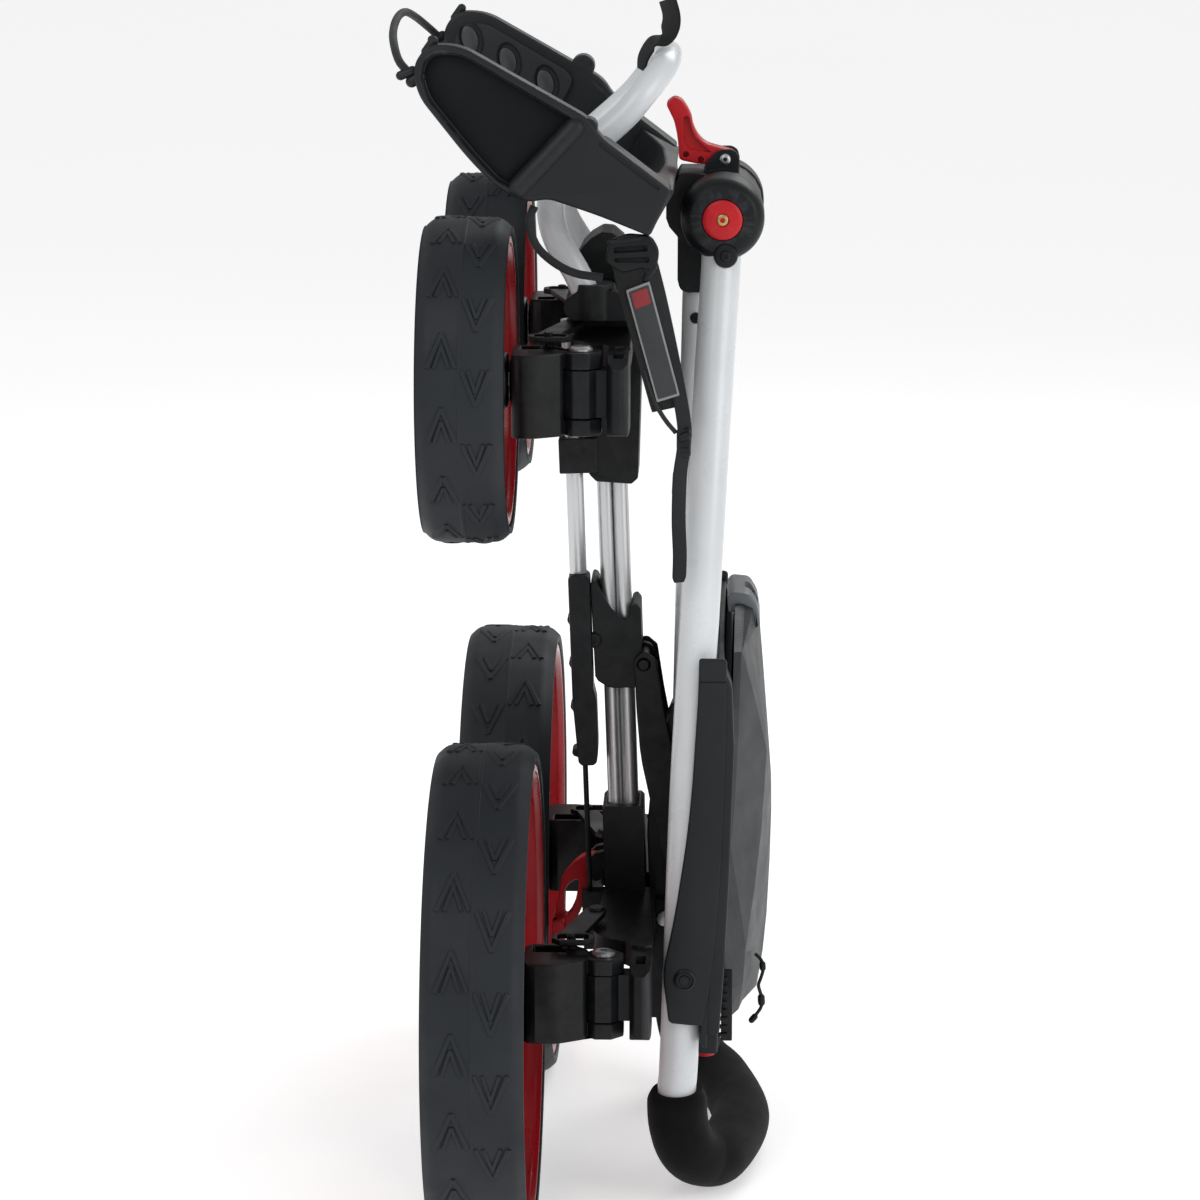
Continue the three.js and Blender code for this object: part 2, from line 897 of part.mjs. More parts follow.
function makeCradle() {
  const { inner, outer } = CRADLE;
  const arm = plate(cradleArmOutline(), "XZ", -outer, -inner, 2);
  const dish = plate(
    outline(
      [
        [-76, 20, 4],
        [-146, 21, 14],
        [-160, 13, 10],
        [-161, 2, 10],
        [-150, -10, 12],
        [-112, -25, 24],
        [-90, -31, 10],
        [-84, -28, 4],
      ],
      6,
    ),
    "XZ",
    -outer - 5,
    -outer + 8,
    2,
  );
  const rib = turned(
    rod("Z", 5, -26, 22, [0, 0], 12),
    new THREE.Matrix4().makeRotationY(rad(12)).setPosition(-74, -outer + 1, -6),
  );
  const beam = plate(
    outline(
      [
        [1, 13, 3],
        [-51, 20, 6],
        [-60, -27, 6],
        [-28, -21, 6],
        [3, -17, 3],
      ],
      4,
    ),
    "XZ",
    -inner - 1,
    -inner + 12,
  );
  const left = join(arm.subtract(dish), rib, beam);
  const right = left.mirror([0, 1, 0]);
  const backPlan = outline(
    [
      [3, -inner - 1, 2],
      [3, -34, 12],
      [4, 0, 10],
      [3, 34, 12],
      [3, inner + 1, 2],
      [-26, inner + 1, 4],
      [-26, inner - 12, 10],
      [-9, inner - 40, 20],
      [-5, 0, 20],
      [-9, -inner + 40, 20],
      [-26, -inner + 12, 10],
      [-26, -inner - 1, 4],
    ],
    4,
  );
  const back = plate(backPlan, "XY", -16, 12, 2);
  const hook = rod("Y", 5.5, -outer + 2, -inner, [-60, 21]);
  const knob = rod("Y", 7.5, inner, outer, [-77, 26]);
  return join(left, right, back, hook, knob);
}

// The pad strip carries three round rubber studs that face the bag.
function makePad() {
  const y = CRADLE.inner - GAP;
  const strip = plate(
    outline(
      [
        [-78, 19],
        [-146, 20],
        [-158, 12],
        [-158, 0],
        [-148, -9],
        [-112, -22],
        [-84, -27],
        [-76, -20],
      ],
      8,
    ),
    "XZ",
    -y,
    -y + 2.5,
  );
  return [-148, -119, -90].reduce(
    (body, x) => join(body, rod("Y", 9.5, -y, -y + 4.5, [x, 5.5], 10)),
    strip,
  );
}

// ---------------------------------------------------------------- soft pieces on the cradle
function bungeeTipRoute() {
  return new Route([
    [-111.5, -126, 705],
    [-118, -118, 712],
    [-124, -80, 722],
    [-126, -30, 728],
    [-126, 30, 728],
    [-124, 80, 722],
    [-118, 118, 712],
    [-111.5, 126, 705],
  ]);
}

function bungeeLowerRoute() {
  return new Route([
    [-38, -124, 626.5],
    [-41, -125, 617],
    [-37, -127, 604],
    [-27, -127, 594],
    [-14, -125, 587],
    [2, -122, 584],
  ]);
}

function makeBagStrap() {
  const ribbon = outline(
    [
      [1.5, 604],
      [30, 603],
      [31, 590],
      [46, 513],
      [43, 505],
      [28, 507],
      [24, 514],
      [12, 566],
      [2.6, 578],
    ],
    2,
  );
  const neck = outline(
    [
      [36, 510],
      [40, 510],
      [50, 484],
      [46, 482],
    ],
    0.5,
  );
  const strip = outline(
    [
      [43.5, 487],
      [53, 487],
      [54, 420],
      [53, 402],
      [45, 402],
      [43, 440],
    ],
    2,
  );
  return join(
    plate(ribbon, "XZ", -128.5, -125),
    plate(neck, "XZ", -128.5, -125),
    plate(strip, "XZ", -129, -125),
  );
}

function makeHoopStrap() {
  const band = outline(
    [
      [21.5, 698],
      [24.5, 698],
      [26, 705],
      [31, 713],
      [39, 715],
      [43.5, 721],
      [45, 730],
      [43, 741],
      [34, 741],
      [37.5, 730],
      [35.5, 722],
      [29, 718.5],
      [23, 710],
    ],
    1.5,
  );
  return plate(band, "XZ", -44, -20);
}

// ---------------------------------------------------------------- handle
function handleRoute() {
  const y = HANDLE.sideY;
  const left = [
    [72.5, -47, 597],
    [71.5, -54, 575],
    [66.5, -82, 490],
    [61, -104, 385],
    [54.5, -y, 260],
    [49.5, -y, 105],
    [48, -y, 76],
    [49, -y + 2, 54],
    [54, -y + 8, 36],
    [63, -y + 20, 25],
    [76, -y + 42, 20],
  ];
  const right = left.map(([x, py, z]) => [x, -py, z]).reverse();
  return new Route([...left, [HANDLE.gripX, 0, HANDLE.gripZ], ...right]);
}

// The lowest stretch of the handle, which the grip covers.
function gripRoute() {
  const covered = handleRoute().points.filter((p) => p.z < HANDLE.gripTop);
  return new Route(covered.map((p) => p.toArray()));
}

function handleHole() {
  return tube(handleRoute(), HANDLE.tube + 0.5, HANDLE.sides);
}

function makeFoam() {
  return tube(gripRoute(), HANDLE.foam, HANDLE.sides).subtract(handleHole());
}

function makeDrum() {
  const { x, z, radius, blockHalfY, drumY } = HINGE;
  const low = -drumY;
  const high = -blockHalfY - RUNNING;
  const drum = rod("Y", radius, low + 4, high, [x, z], 20);
  const face = rod("Y", radius - 5, low, low + 6, [x, z], 20);
  const lug = plate(
    outline(
      [
        [58, 598],
        [58, 590],
        [63, 583],
        [72, 579],
        [81, 583],
        [87, 592],
        [87, 598],
      ],
      3,
    ),
    "XZ",
    low + 3,
    high,
  );
  return join(drum, face, lug)
    .subtract(handleHole())
    .subtract(rod("Y", 12.6, low - 5, low + 3.4, [x, z], 20))
    .subtract(rod("Y", HINGE.boltRadius + GAP, -drumY - 10, 0, [x, z], 16));
}

function makeCap() {
  const { x, z, drumY } = HINGE;
  const disc = rod("Y", 12.2, -drumY - 1.6, -drumY + 3, [x, z], 20);
  return disc.subtract(rod("Y", 2.6, -drumY - 8, -drumY + 10, [x, z], 12));
}

function makeHingeBolt() {
  const reach = HINGE.drumY - 3.3;
  return rod("Y", HINGE.boltRadius, -reach, reach, [HINGE.x, HINGE.z], 16);
}

function makeCamLever() {
  const profile = outline(
    [
      [CAM.x + 6, CAM.z - 2],
      [CAM.x + 6, CAM.z + 4],
      [CAM.x - 3, CAM.z + 7],
      [CAM.x - 14, CAM.z + 11],
      [CAM.x - 20, CAM.z + 18],
      [CAM.x - 25, CAM.z + 33],
      [CAM.x - 31, CAM.z + 37.5],
      [CAM.x - 37, CAM.z + 33],
      [CAM.x - 33, CAM.z + 28],
      [CAM.x - 29, CAM.z + 16],
      [CAM.x - 27, CAM.z - 2],
      [CAM.x - 10, CAM.z - 3],
    ],
    3,
  );
  return plate(profile, "XZ", -8.4, 8.4).subtract(rod("Y", 2.6, -20, 20, [CAM.x, CAM.z], 12));
}

// ---------------------------------------------------------------- console
const CONSOLE = { halfY: 128.5, shoulderY: 106.5 };

function wingOutline() {
  return outline(
    [
      [43, 124, 3],
      [64, 122, 3],
      [69, 150, 20],
      [74, 205, 30],
      [77.4, 300, 20],
      [77.4, 354, 3],
      [60.5, 354, 2],
      [60, 330, 20],
      [55.5, 254, 30],
      [46, 190, 20],
      [39, 156, 10],
    ],
    6,
  );
}

function makeConsoleBase() {
  const outerY = CONSOLE.halfY;
  const wing = plate(wingOutline(), "XZ", -outerY, -outerY + 3.6, 2);
  const deck = outline(
    [
      [64.5, 108],
      [66, 108],
      [70, 150],
      [73.5, 215],
      [76, 300],
      [76, 348],
      [72, 348],
      [71, 300],
      [67.5, 215],
      [64.5, 150],
      [62.4, 112],
    ],
    1,
  );
  // A raised shoulder along each side frames the lid.
  const shoulder = outline(
    [
      [66, 116],
      [74, 116],
      [77, 160],
      [79.5, 215],
      [82, 300],
      [80.5, 336],
      [76, 348],
      [70, 300],
    ],
    2,
  );
  const panel = plate(deck, "XZ", -outerY + 1, outerY - 1);
  const frame = plate(shoulder, "XZ", -outerY + 1, -CONSOLE.shoulderY);
  const foot = box([57, 73], [-98, -56], [94, 124]);
  const web = plate(
    outline(
      [
        [58, 118],
        [66, 118],
        [71, 200],
        [74, 300],
        [74, 335],
        [60, 335],
        [60, 290],
      ],
      2,
    ),
    "XZ",
    -90,
    -86,
  );
  const screw = rod("Y", 7, -outerY - 1.4, -outerY + 2, [52.6, 152], 18);
  const left = join(wing, web, frame, foot, screw);
  return join(left, left.mirror([0, 1, 0]), panel, makeButtonBoss())
    .subtract(buttonBore())
    .subtract(handleHole())
    .subtract(box([40, 80], [-18.5, 18.5], [240, 338]))
    .subtract(hingeKnuckle(RUNNING));
}

// The release button under the console's foot presses up into a boss on the deck.
function makeConsoleButton() {
  const { x, y, z, radius, travel } = BUTTON;
  const cap = rod("Z", radius, z - travel - 4, z - travel - 1, [x, y]);
  return cap.add(rod("Z", radius - 3, z - travel - 2, z + 10, [x, y]));
}

function makeButtonBoss() {
  const { x, y, z } = BUTTON;
  return box([x - 7, x + 9], [y - 8, y + 8], [z, z + 18]);
}

function buttonBore() {
  const { x, y, z, radius, travel } = BUTTON;
  return rod("Z", radius - 3 + 0.5, z - 5, z + 11 + travel, [x, y]);
}

const LID = { hingeX: 74, hingeZ: 112 };

function hingeKnuckle(grow = 0) {
  return rod("Y", 4 + grow, -52 - grow, 52 + grow, [LID.hingeX, LID.hingeZ], 14);
}

// The lid is a faceted shell: a flat rim at the sides that rises to a crest along the middle.
function makeConsoleLid() {
  const sections = [
    // z, rim x, shoulder x, shoulder y, crest x, half width
    [113, 75, 86, 44, 94, 92],
    [150, 77, 91, 66, 99, 103],
    [246, 80, 93, 58, 105.6, 104],
    [300, 81.5, 92, 50, 101, 103],
    [346, 82, 90, 40, 97, 96],
    [366, 82, 88, 22, 94, 30],
  ];
  const ring = ([z, rim, shoulder, y, crest, half]) => [
    [rim, -half, z],
    [shoulder - 4, -half + 3, z],
    [shoulder, -y, z],
    [crest, -12, z],
    [crest, 12, z],
    [shoulder, y, z],
    [shoulder - 4, half - 3, z],
    [rim, half, z],
  ];
  const shell = loft(sections.map(ring));
  const hollow = loft(
    sections.map(([z, rim, shoulder, y, crest, half], i) => {
      const end = i === 0 ? 4 : i === sections.length - 1 ? -5 : 0;
      return ring([z + end, rim - 9, shoulder - 4, y, crest - 4, half - 4]);
    }),
  );
  const ears = rod("Y", 4, -52, 52, [LID.hingeX, LID.hingeZ], 14);
  const neck = box([LID.hingeX - 0.5, LID.hingeX + 8], [-52, 52], [LID.hingeZ - 1, LID.hingeZ + 7]);
  return join(shell.subtract(hollow), ears, neck).subtract(
    rod("Y", 1.6, -80, 80, [LID.hingeX, LID.hingeZ], 10),
  );
}

// A closed solid through rings of equal point count, one above the other.
function loft(rings) {
  const n = rings[0].length;
  const position = [];
  const face = (a, b, c) => position.push(...a, ...b, ...c);
  for (let i = 0; i + 1 < rings.length; i++) {
    for (let k = 0; k < n; k++) {
      const next = (k + 1) % n;
      const [a, b] = [rings[i][k], rings[i][next]];
      const [c, d] = [rings[i + 1][next], rings[i + 1][k]];
      face(a, b, c);
      face(a, c, d);
    }
  }
  const first = rings[0];
  const last = rings[rings.length - 1];
  for (let k = 1; k + 1 < n; k++) {
    face(first[0], first[k + 1], first[k]);
    face(last[0], last[k], last[k + 1]);
  }
  const g = new THREE.BufferGeometry();
  g.setAttribute("position", new THREE.Float32BufferAttribute(position, 3));
  return solid(g);
}

// ---------------------------------------------------------------- foot brake
function makeBrakePedal() {
  const profile = outline(
    [
      [-10, 194],
      [-2, 193],
      [-2, 183],
      [-8, 178],
      [-14, 160],
      [-22, 142],
      [-31, 138],
      [-33, 150],
      [-28, 178],
      [-18, 190],
    ],
    3,
  );
  const window = outline(
    [
      [-16, 178],
      [-20, 158],
      [-26, 150],
      [-26, 172],
    ],
    3,
  );
  return plate(profile, "XZ", 4.6, 13.4)
    .subtract(plate(window, "XZ", -20, 40))
    .subtract(rod("Y", BRAKE.pinRadius + RUNNING, -20, 40, [BRAKE.x, BRAKE.z]))
    .add(box([-34, -26], [-6, 24], [139, 151]));
}

// ---------------------------------------------------------------- assembly
add(railFrame, "rail", makeRail(), "alloy");
add(railFrame, "slider", makeSlider(), "plastic");
add(railFrame, "grip_bar", makeGripBar(), "plastic");
add(railFrame, "push_rod", rod("Z", ROD.radius, ROD.bottom, ROD.top, [ROD.x, ROD.y]), "alloy");
add(railFrame, "shift_wire", rod("Z", 1.7, 20, 107.6, [ROD.x, ROD.y], 10), "steel");
add(trolley, "front_housing", makeFrontHousing(), "plastic");
add(trolley, "rear_housing", makeRearHousing(), "plastic");
add(trolley, "base_hoop", tube(hoopRoute(), HOOP.tube, 10, HOOP.wall), "white");
add(trolley, "hoop_strap", makeHoopStrap(), "webbing");
add(trolley, "brake_pedal", makeBrakePedal(), "red");
for (const c of [FRONT, REAR]) for (const side of [-1, 1]) addCorner(c, side);

add(trolley, "strut", makeStrut(), "plastic");
add(trolley, "main_tube", tube(mainTubeRoute(), MAIN_TUBE.radius, 16, MAIN_TUBE.wall), "white");
add(trolley, "tube_socket", makeTubeSocket(), "plastic");
const pivotPin = rod("Y", PIVOT.radius, -PIVOT.reach, PIVOT.reach, [PIVOT.x, PIVOT.z], 16);
add(trolley, "main_pivot_pin", pivotPin, "steel");
add(trolley, "hinge_block", makeHingeBlock(), "plastic");
add(cradleFrame, "bag_cradle", makeCradle(), "grey");
const leftPad = add(cradleFrame, "cradle_pad_left", makePad(), "rubber");
const rightPad = leftPad.clone();
rightPad.name = "cradle_pad_right";
rightPad.material = leftPad.material.clone();
rightPad.scale.y = -1;
cradleFrame.add(rightPad);
add(trolley, "bungee_tip", tube(bungeeTipRoute(), 2.5, 8), "webbing");
add(trolley, "bungee_lower", tube(bungeeLowerRoute(), 2.5, 8), "webbing");
add(trolley, "bag_strap", makeBagStrap(), "webbing");
add(trolley, "cam_lever", makeCamLever(), "red");

add(trolley, "handle_loop", tube(handleRoute(), HANDLE.tube, HANDLE.sides, HANDLE.wall), "white");
add(trolley, "foam_grip", makeFoam(), "foam");
const pairs = [
  ["hinge_drum", makeDrum(), "plastic"],
  ["hinge_cap", makeCap(), "red"],
];
for (const [name, body, mat] of pairs) {
  add(trolley, `${name}_left`, body, mat);
  add(trolley, `${name}_right`, body.mirror([0, 1, 0]), mat);
}
add(trolley, "hinge_bolt", makeHingeBolt(), "steel");
add(trolley, "console_base", makeConsoleBase(), "grey");
add(trolley, "console_lid", makeConsoleLid(), "grey");
add(trolley, "console_button", makeConsoleButton(), "red");

export default part;
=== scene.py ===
import math

import bmesh
import bpy
from mathutils import Matrix, Vector


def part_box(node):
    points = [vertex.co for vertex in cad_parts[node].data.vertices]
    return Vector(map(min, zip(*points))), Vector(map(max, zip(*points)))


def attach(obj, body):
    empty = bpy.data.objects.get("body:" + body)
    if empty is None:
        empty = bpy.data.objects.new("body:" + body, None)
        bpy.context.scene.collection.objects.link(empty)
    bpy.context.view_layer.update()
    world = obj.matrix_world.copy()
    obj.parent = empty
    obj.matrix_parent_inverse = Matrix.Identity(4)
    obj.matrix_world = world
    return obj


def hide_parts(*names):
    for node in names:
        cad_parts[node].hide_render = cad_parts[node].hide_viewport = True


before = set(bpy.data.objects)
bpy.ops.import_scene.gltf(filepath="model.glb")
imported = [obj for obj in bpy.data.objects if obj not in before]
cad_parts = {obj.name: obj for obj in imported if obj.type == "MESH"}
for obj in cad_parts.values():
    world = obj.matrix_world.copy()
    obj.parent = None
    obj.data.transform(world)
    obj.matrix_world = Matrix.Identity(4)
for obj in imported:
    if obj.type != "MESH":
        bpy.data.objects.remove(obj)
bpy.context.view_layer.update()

MM = 0.001
TAU = 2 * math.pi

# Driving sizes, in trolley millimetres.
HINGE_X = 72.7
HINGE_Z = 611
HINGE_AT = (HINGE_X, HINGE_Z)
LEVER_PIN = (74, 642)
LUG_AT = (74.8, 589.3)
LID_PIN = (74, 112)
BUTTON_AT = (65, -76)
DRUM_FACE = -64
ROD_AT = (-23, -14)
ROD_RADIUS = 5.4
WIRE_RADIUS = 1.7
HOOP_RADIUS = 8.4
MAIN_RADIUS = 12.5
HANDLE_RADIUS = 12
HANDLE_HOLE = 12.4
GRIP_RADIUS = 18.7
GRIP_WALL = 6.2
GRIP_TOP = 77
BUNGEE_RADIUS = 2.5
STRAP_THICKNESS = 1.5
bolt_low, bolt_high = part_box("hinge_bolt")
OFFSET = (bolt_low.x + bolt_high.x) / 2 - HINGE_X * MM
TO_FRAME = Matrix.Translation((OFFSET, 0, 0)) @ Matrix.Scale(MM, 4)
MIRROR = Matrix.Scale(-1, 4, (0, 1, 0))


def turn_about_y(degrees, at):
    return Matrix.Translation(at) @ Matrix.Rotation(math.radians(degrees), 4, "Y")


RAIL_FRAME = turn_about_y(-2, (14.5, 0, 152))
CRADLE_FRAME = turn_about_y(29.4, (36, 0, 626))


def link_object(name, data):
    """A new object in the scene."""
    obj = bpy.data.objects.new(name, data)
    bpy.context.scene.collection.objects.link(obj)
    return obj


# ---------------------------------------------------------------- camera
SENSOR_WIDTH = 36
FOCAL_LENGTH = 123.435
CAMERA_AT = (0.08055, -2.538, 0.925)
DOWN_TILT = 12.51
YAW = 1.874


def make_camera():
    data = bpy.data.cameras.new("camera")
    data.sensor_width = SENSOR_WIDTH
    data.lens = FOCAL_LENGTH
    data.clip_end = 60
    camera = link_object("camera", data)
    camera.location = CAMERA_AT
    camera.rotation_euler = (math.radians(90 - DOWN_TILT), 0, math.radians(YAW))
    bpy.context.scene.camera = camera


make_camera()


# ---------------------------------------------------------------- materials
def surface(name, dark, light, rough, patch=14, grain=700, bump=0.2, depth=0.0002, stretch=(1, 1, 1),
            metallic=0, coat=0, sheen=0, wear=0, pattern=None, pitch=0.0012, shine=0.5, glow=0):
    """A procedural finish: blotchy colour, uneven roughness, a fine grain and, if wanted, worn edges."""
    material = bpy.data.materials.new(name)
    material.use_nodes = True
    nodes = material.node_tree.nodes
    link = material.node_tree.links.new
    shader = nodes["Principled BSDF"]
    for socket, value in (("Metallic", metallic), ("Coat Weight", coat), ("Coat Roughness", 0.2),
                          ("Sheen Weight", sheen), ("Specular IOR Level", shine),
                          ("Emission Color", (1, 1, 1, 1)), ("Emission Strength", glow)):
        shader.inputs[socket].default_value = value
    coords = nodes.new("ShaderNodeTexCoord")
    mapping = nodes.new("ShaderNodeMapping")
    mapping.inputs["Scale"].default_value = stretch
    link(coords.outputs["Object"], mapping.inputs["Vector"])

    def feed(socket, value):
        if isinstance(value, tuple):
            socket.default_value = (*value, 1)
        elif isinstance(value, (int, float)):
            socket.default_value = value
        else:
            link(value, socket)

    def noise(scale, detail):
        node = nodes.new("ShaderNodeTexNoise")
        node.inputs["Scale"].default_value = scale
        node.inputs["Detail"].default_value = detail
        link(mapping.outputs["Vector"], node.inputs["Vector"])
        return node.outputs["Fac"]

    def spread(value, low, high, to_low=0.0, to_high=1.0):
        node = nodes.new("ShaderNodeMapRange")
        for socket, limit in (("From Min", low), ("From Max", high), ("To Min", to_low), ("To Max", to_high)):
            node.inputs[socket].default_value = limit
        link(value, node.inputs["Value"])
        return node.outputs["Result"]

    def blend(factor, a, b):
        node = nodes.new("ShaderNodeMix")
        node.data_type = "RGBA"
        link(factor, node.inputs[0])
        feed(node.inputs[6], a)
        feed(node.inputs[7], b)
        return node.outputs[2]

    def maths(operation, a, b):
        node = nodes.new("ShaderNodeMath")
        node.operation = operation
        feed(node.inputs[0], a)
        feed(node.inputs[1], b)
        return node.outputs[0]

    patches = noise(patch, 5)
    fine = noise(grain, 2)
    colour = blend(spread(patches, 0.35, 0.68), dark, light)
    if wear:
        geometry = nodes.new("ShaderNodeNewGeometry")
        edges = spread(geometry.outputs["Pointiness"], 0.52, 0.62, 0, wear)
        rubbed = maths("MULTIPLY", edges, spread(noise(patch * 9, 3), 0.35, 0.6))
        colour = blend(rubbed, colour, tuple(min(1, c * 3 + 0.05) for c in light))
    height = fine
    if pattern:
        split = nodes.new("ShaderNodeSeparateXYZ")
        link(coords.outputs["Object"], split.inputs["Vector"])
        across = split.outputs["X"]
        along = split.outputs["Z"]
        if pattern == "diamond":
            side = split.outputs["Y"]
            across = maths("ADD", side, along)
            along = maths("SUBTRACT", side, along)
        waves = [maths("SINE", maths("MULTIPLY", v, TAU / pitch), 0) for v in (across, along)]
        woven = maths("MULTIPLY", waves[0], waves[1])
        height = maths("ADD", woven, maths("MULTIPLY", fine, 0.5))
        colour = blend(spread(woven, -1, 1, 0, 0.35), colour, light)
    link(colour, shader.inputs["Base Color"])
    link(spread(noise(patch * 3, 4), 0.3, 0.7, *rough), shader.inputs["Roughness"])
    relief = nodes.new("ShaderNodeBump")
    relief.inputs["Strength"].default_value = bump
    relief.inputs["Distance"].default_value = depth
    link(height, relief.inputs["Height"])
    link(relief.outputs["Normal"], shader.inputs["Normal"])
    return material


TYRE = surface("tyre_rubber", (0.0085, 0.011, 0.014), (0.0135, 0.0165, 0.0205), (0.52, 0.7), patch=11,
               grain=900, bump=0.3, shine=0.3)
RIM = surface("rim_red", (0.26, 0.004, 0.008), (0.34, 0.007, 0.012), (0.24, 0.36), coat=0.2, bump=0.06,
              shine=0.35)
RED = surface("red_plastic", (0.4, 0.006, 0.011), (0.49, 0.01, 0.016), (0.34, 0.48), bump=0.12, wear=0.12,
              shine=0.25)
BLACK = surface("black_plastic", (0.0026, 0.0031, 0.0038), (0.0046, 0.0055, 0.0066), (0.32, 0.48), grain=1100,
                bump=0.22, wear=0.2, shine=0.22)
HOUSING = surface("housing_plastic", (0.003, 0.0036, 0.0044), (0.0052, 0.0062, 0.0074), (0.36, 0.52),
                  grain=1100, bump=0.25, wear=0.25, shine=0.22)
CRADLE = surface("cradle_plastic", (0.0068, 0.0083, 0.01), (0.01, 0.012, 0.0142), (0.38, 0.52), grain=900,
                 bump=0.28, wear=0.25, shine=0.25)
# The dish floor's colour is darker than the cradle plastic to paint the shade in the recess; its rougher,
# finer grain is the surface's own.
RECESS_SHADE = surface("cradle_recess_shade", (0.0022, 0.0028, 0.0035), (0.0038, 0.0046, 0.0056), (0.5, 0.66), grain=1500,
               bump=0.4, shine=0.15)
WING = surface("console_plastic", (0.0062, 0.0078, 0.0094), (0.0092, 0.0112, 0.013), (0.4, 0.54), grain=1200,
               bump=0.3, shine=0.25)
LID = surface("lid_plastic", (0.0135, 0.016, 0.0185), (0.0175, 0.0205, 0.0235), (0.42, 0.55), bump=0.35,
              pattern="diamond", pitch=0.0021, depth=0.00015, shine=0.28)
PALE = surface("pale_plastic", (0.085, 0.092, 0.1), (0.11, 0.12, 0.13), (0.35, 0.5), bump=0.2)
WHITE = surface("white_paint", (0.56, 0.585, 0.6), (0.63, 0.655, 0.67), (0.24, 0.36), grain=1600, bump=0.05,
                coat=0.2)
ALLOY = surface("brushed_alloy", (0.5, 0.51, 0.52), (0.66, 0.67, 0.68), (0.26, 0.42), grain=900, bump=0.12,
                stretch=(1, 1, 0.03), metallic=0.85)
STEEL = surface("zinc_steel", (0.36, 0.37, 0.38), (0.52, 0.53, 0.54), (0.25, 0.4), metallic=0.95, bump=0.1)
BRASS = surface("screw_brass", (0.42, 0.27, 0.1), (0.58, 0.4, 0.17), (0.28, 0.42), metallic=0.95, bump=0.1)
FOAM = surface("grip_foam", (0.0028, 0.0028, 0.0032), (0.005, 0.005, 0.0056), (0.82, 0.96), patch=25,
               grain=1300, bump=0.7, depth=0.0004, sheen=0.05, shine=0.12)
WEBBING = surface("webbing", (0.0045, 0.005, 0.0055), (0.012, 0.013, 0.014), (0.7, 0.85), bump=0.7,
                  pattern="weave", pitch=0.0016, depth=0.0003, sheen=0.05, shine=0.25)
CORD = surface("cord_sleeve", (0.006, 0.007, 0.008), (0.014, 0.016, 0.018), (0.6, 0.8), bump=0.6,
               pattern="diamond", pitch=0.0018, depth=0.0002, sheen=0.05, shine=0.3)
PAD = surface("pad_rubber", (0.012, 0.014, 0.016), (0.016, 0.0185, 0.021), (0.5, 0.65), grain=1300, bump=0.3,
              shine=0.25)
STUD = surface("pad_stud", (0.02, 0.0225, 0.025), (0.032, 0.035, 0.038), (0.3, 0.45), bump=0.15)
TAG = surface("tag_red", (0.17, 0.01, 0.014), (0.22, 0.014, 0.018), (0.6, 0.75), bump=0.4, pattern="weave",
              pitch=0.001)
LABEL = surface("label_weave", (0.018, 0.02, 0.022), (0.025, 0.0275, 0.03), (0.6, 0.75), bump=0.5,
                pattern="weave", pitch=0.001)
PIPING = surface("label_border", (0.15, 0.155, 0.16), (0.21, 0.215, 0.22), (0.55, 0.7), bump=0.4, grain=1600)
FLOOR = surface("studio_floor", (0.88, 0.88, 0.885), (0.89, 0.89, 0.895), (0.75, 0.8), patch=0.7, grain=9,
                bump=0.01, shine=0.1, glow=0.42)


# ---------------------------------------------------------------- making meshes
def tidy(mesh):
    bm = bmesh.new()
    bm.from_mesh(mesh)
    bmesh.ops.remove_doubles(bm, verts=bm.verts, dist=1e-3)
    bmesh.ops.dissolve_degenerate(bm, edges=bm.edges, dist=1e-4)
    bmesh.ops.recalc_face_normals(bm, faces=bm.faces)
    bm.to_mesh(mesh)
    bm.free()
    return mesh


def mesh_of(verts, faces):
    mesh = bpy.data.meshes.new("shape")
    mesh.from_pydata([tuple(v) for v in verts], [], faces)
    return tidy(mesh)


def outline(points, radius=0, steps=4):
    """A ring with each corner rounded by its own radius. Points are (u, v) or (u, v, radius)."""
    ring = []
    for i, point in enumerate(points):
        here = Vector(point[:2])
        before = Vector(points[i - 1][:2]) - here
        after = Vector(points[(i + 1) % len(points)][:2]) - here
        r = min(point[2] if len(point) > 2 else radius, before.length * 0.48, after.length * 0.48)
        if r <= 0:
            ring.append(here)
            continue
        a = here + before.normalized() * r
        b = here + after.normalized() * r
        for k in range(steps + 1):
            t = k / steps
            ring.append(a * (1 - t) ** 2 + here * 2 * t * (1 - t) + b * t * t)
    return ring


def inset(ring, width):
    """The ring moved inwards by a small width."""
    area = sum(a.x * b.y - b.x * a.y for a, b in zip(ring, ring[1:] + ring[:1]))
    sign = 1 if area > 0 else -1
    moved = []
    for i, here in enumerate(ring):
        arriving = (here - ring[i - 1]).normalized()
        leaving = (ring[(i + 1) % len(ring)] - here).normalized()
        middle = (arriving + leaving).normalized()
        normal = Vector((-middle.y, middle.x)) * sign
        stretch = 1 / max(0.5, middle.dot(arriving))
        moved.append(here + normal * width * stretch)
    return moved


PLANES = {
    "XY": lambda u, v, w: (u, v, w),
    "XZ": lambda u, v, w: (u, w, v),
    "YZ": lambda u, v, w: (w, u, v),
}


def layer(ring, plane, at):
    return [PLANES[plane](p.x, p.y, at) for p in ring]


def loft(rings, capped=True):
    """A closed shape through rings of equal length, one after the other."""
    n = len(rings[0])
    faces = []
    for i in range(len(rings) - 1):
        for k in range(n):
            m = (k + 1) % n
            faces.append([i * n + k, i * n + m, (i + 1) * n + m, (i + 1) * n + k])
    if capped:
        faces.append(list(range(n))[::-1])
        faces.append([(len(rings) - 1) * n + k for k in range(n)])
    return mesh_of([p for ring in rings for p in ring], faces)


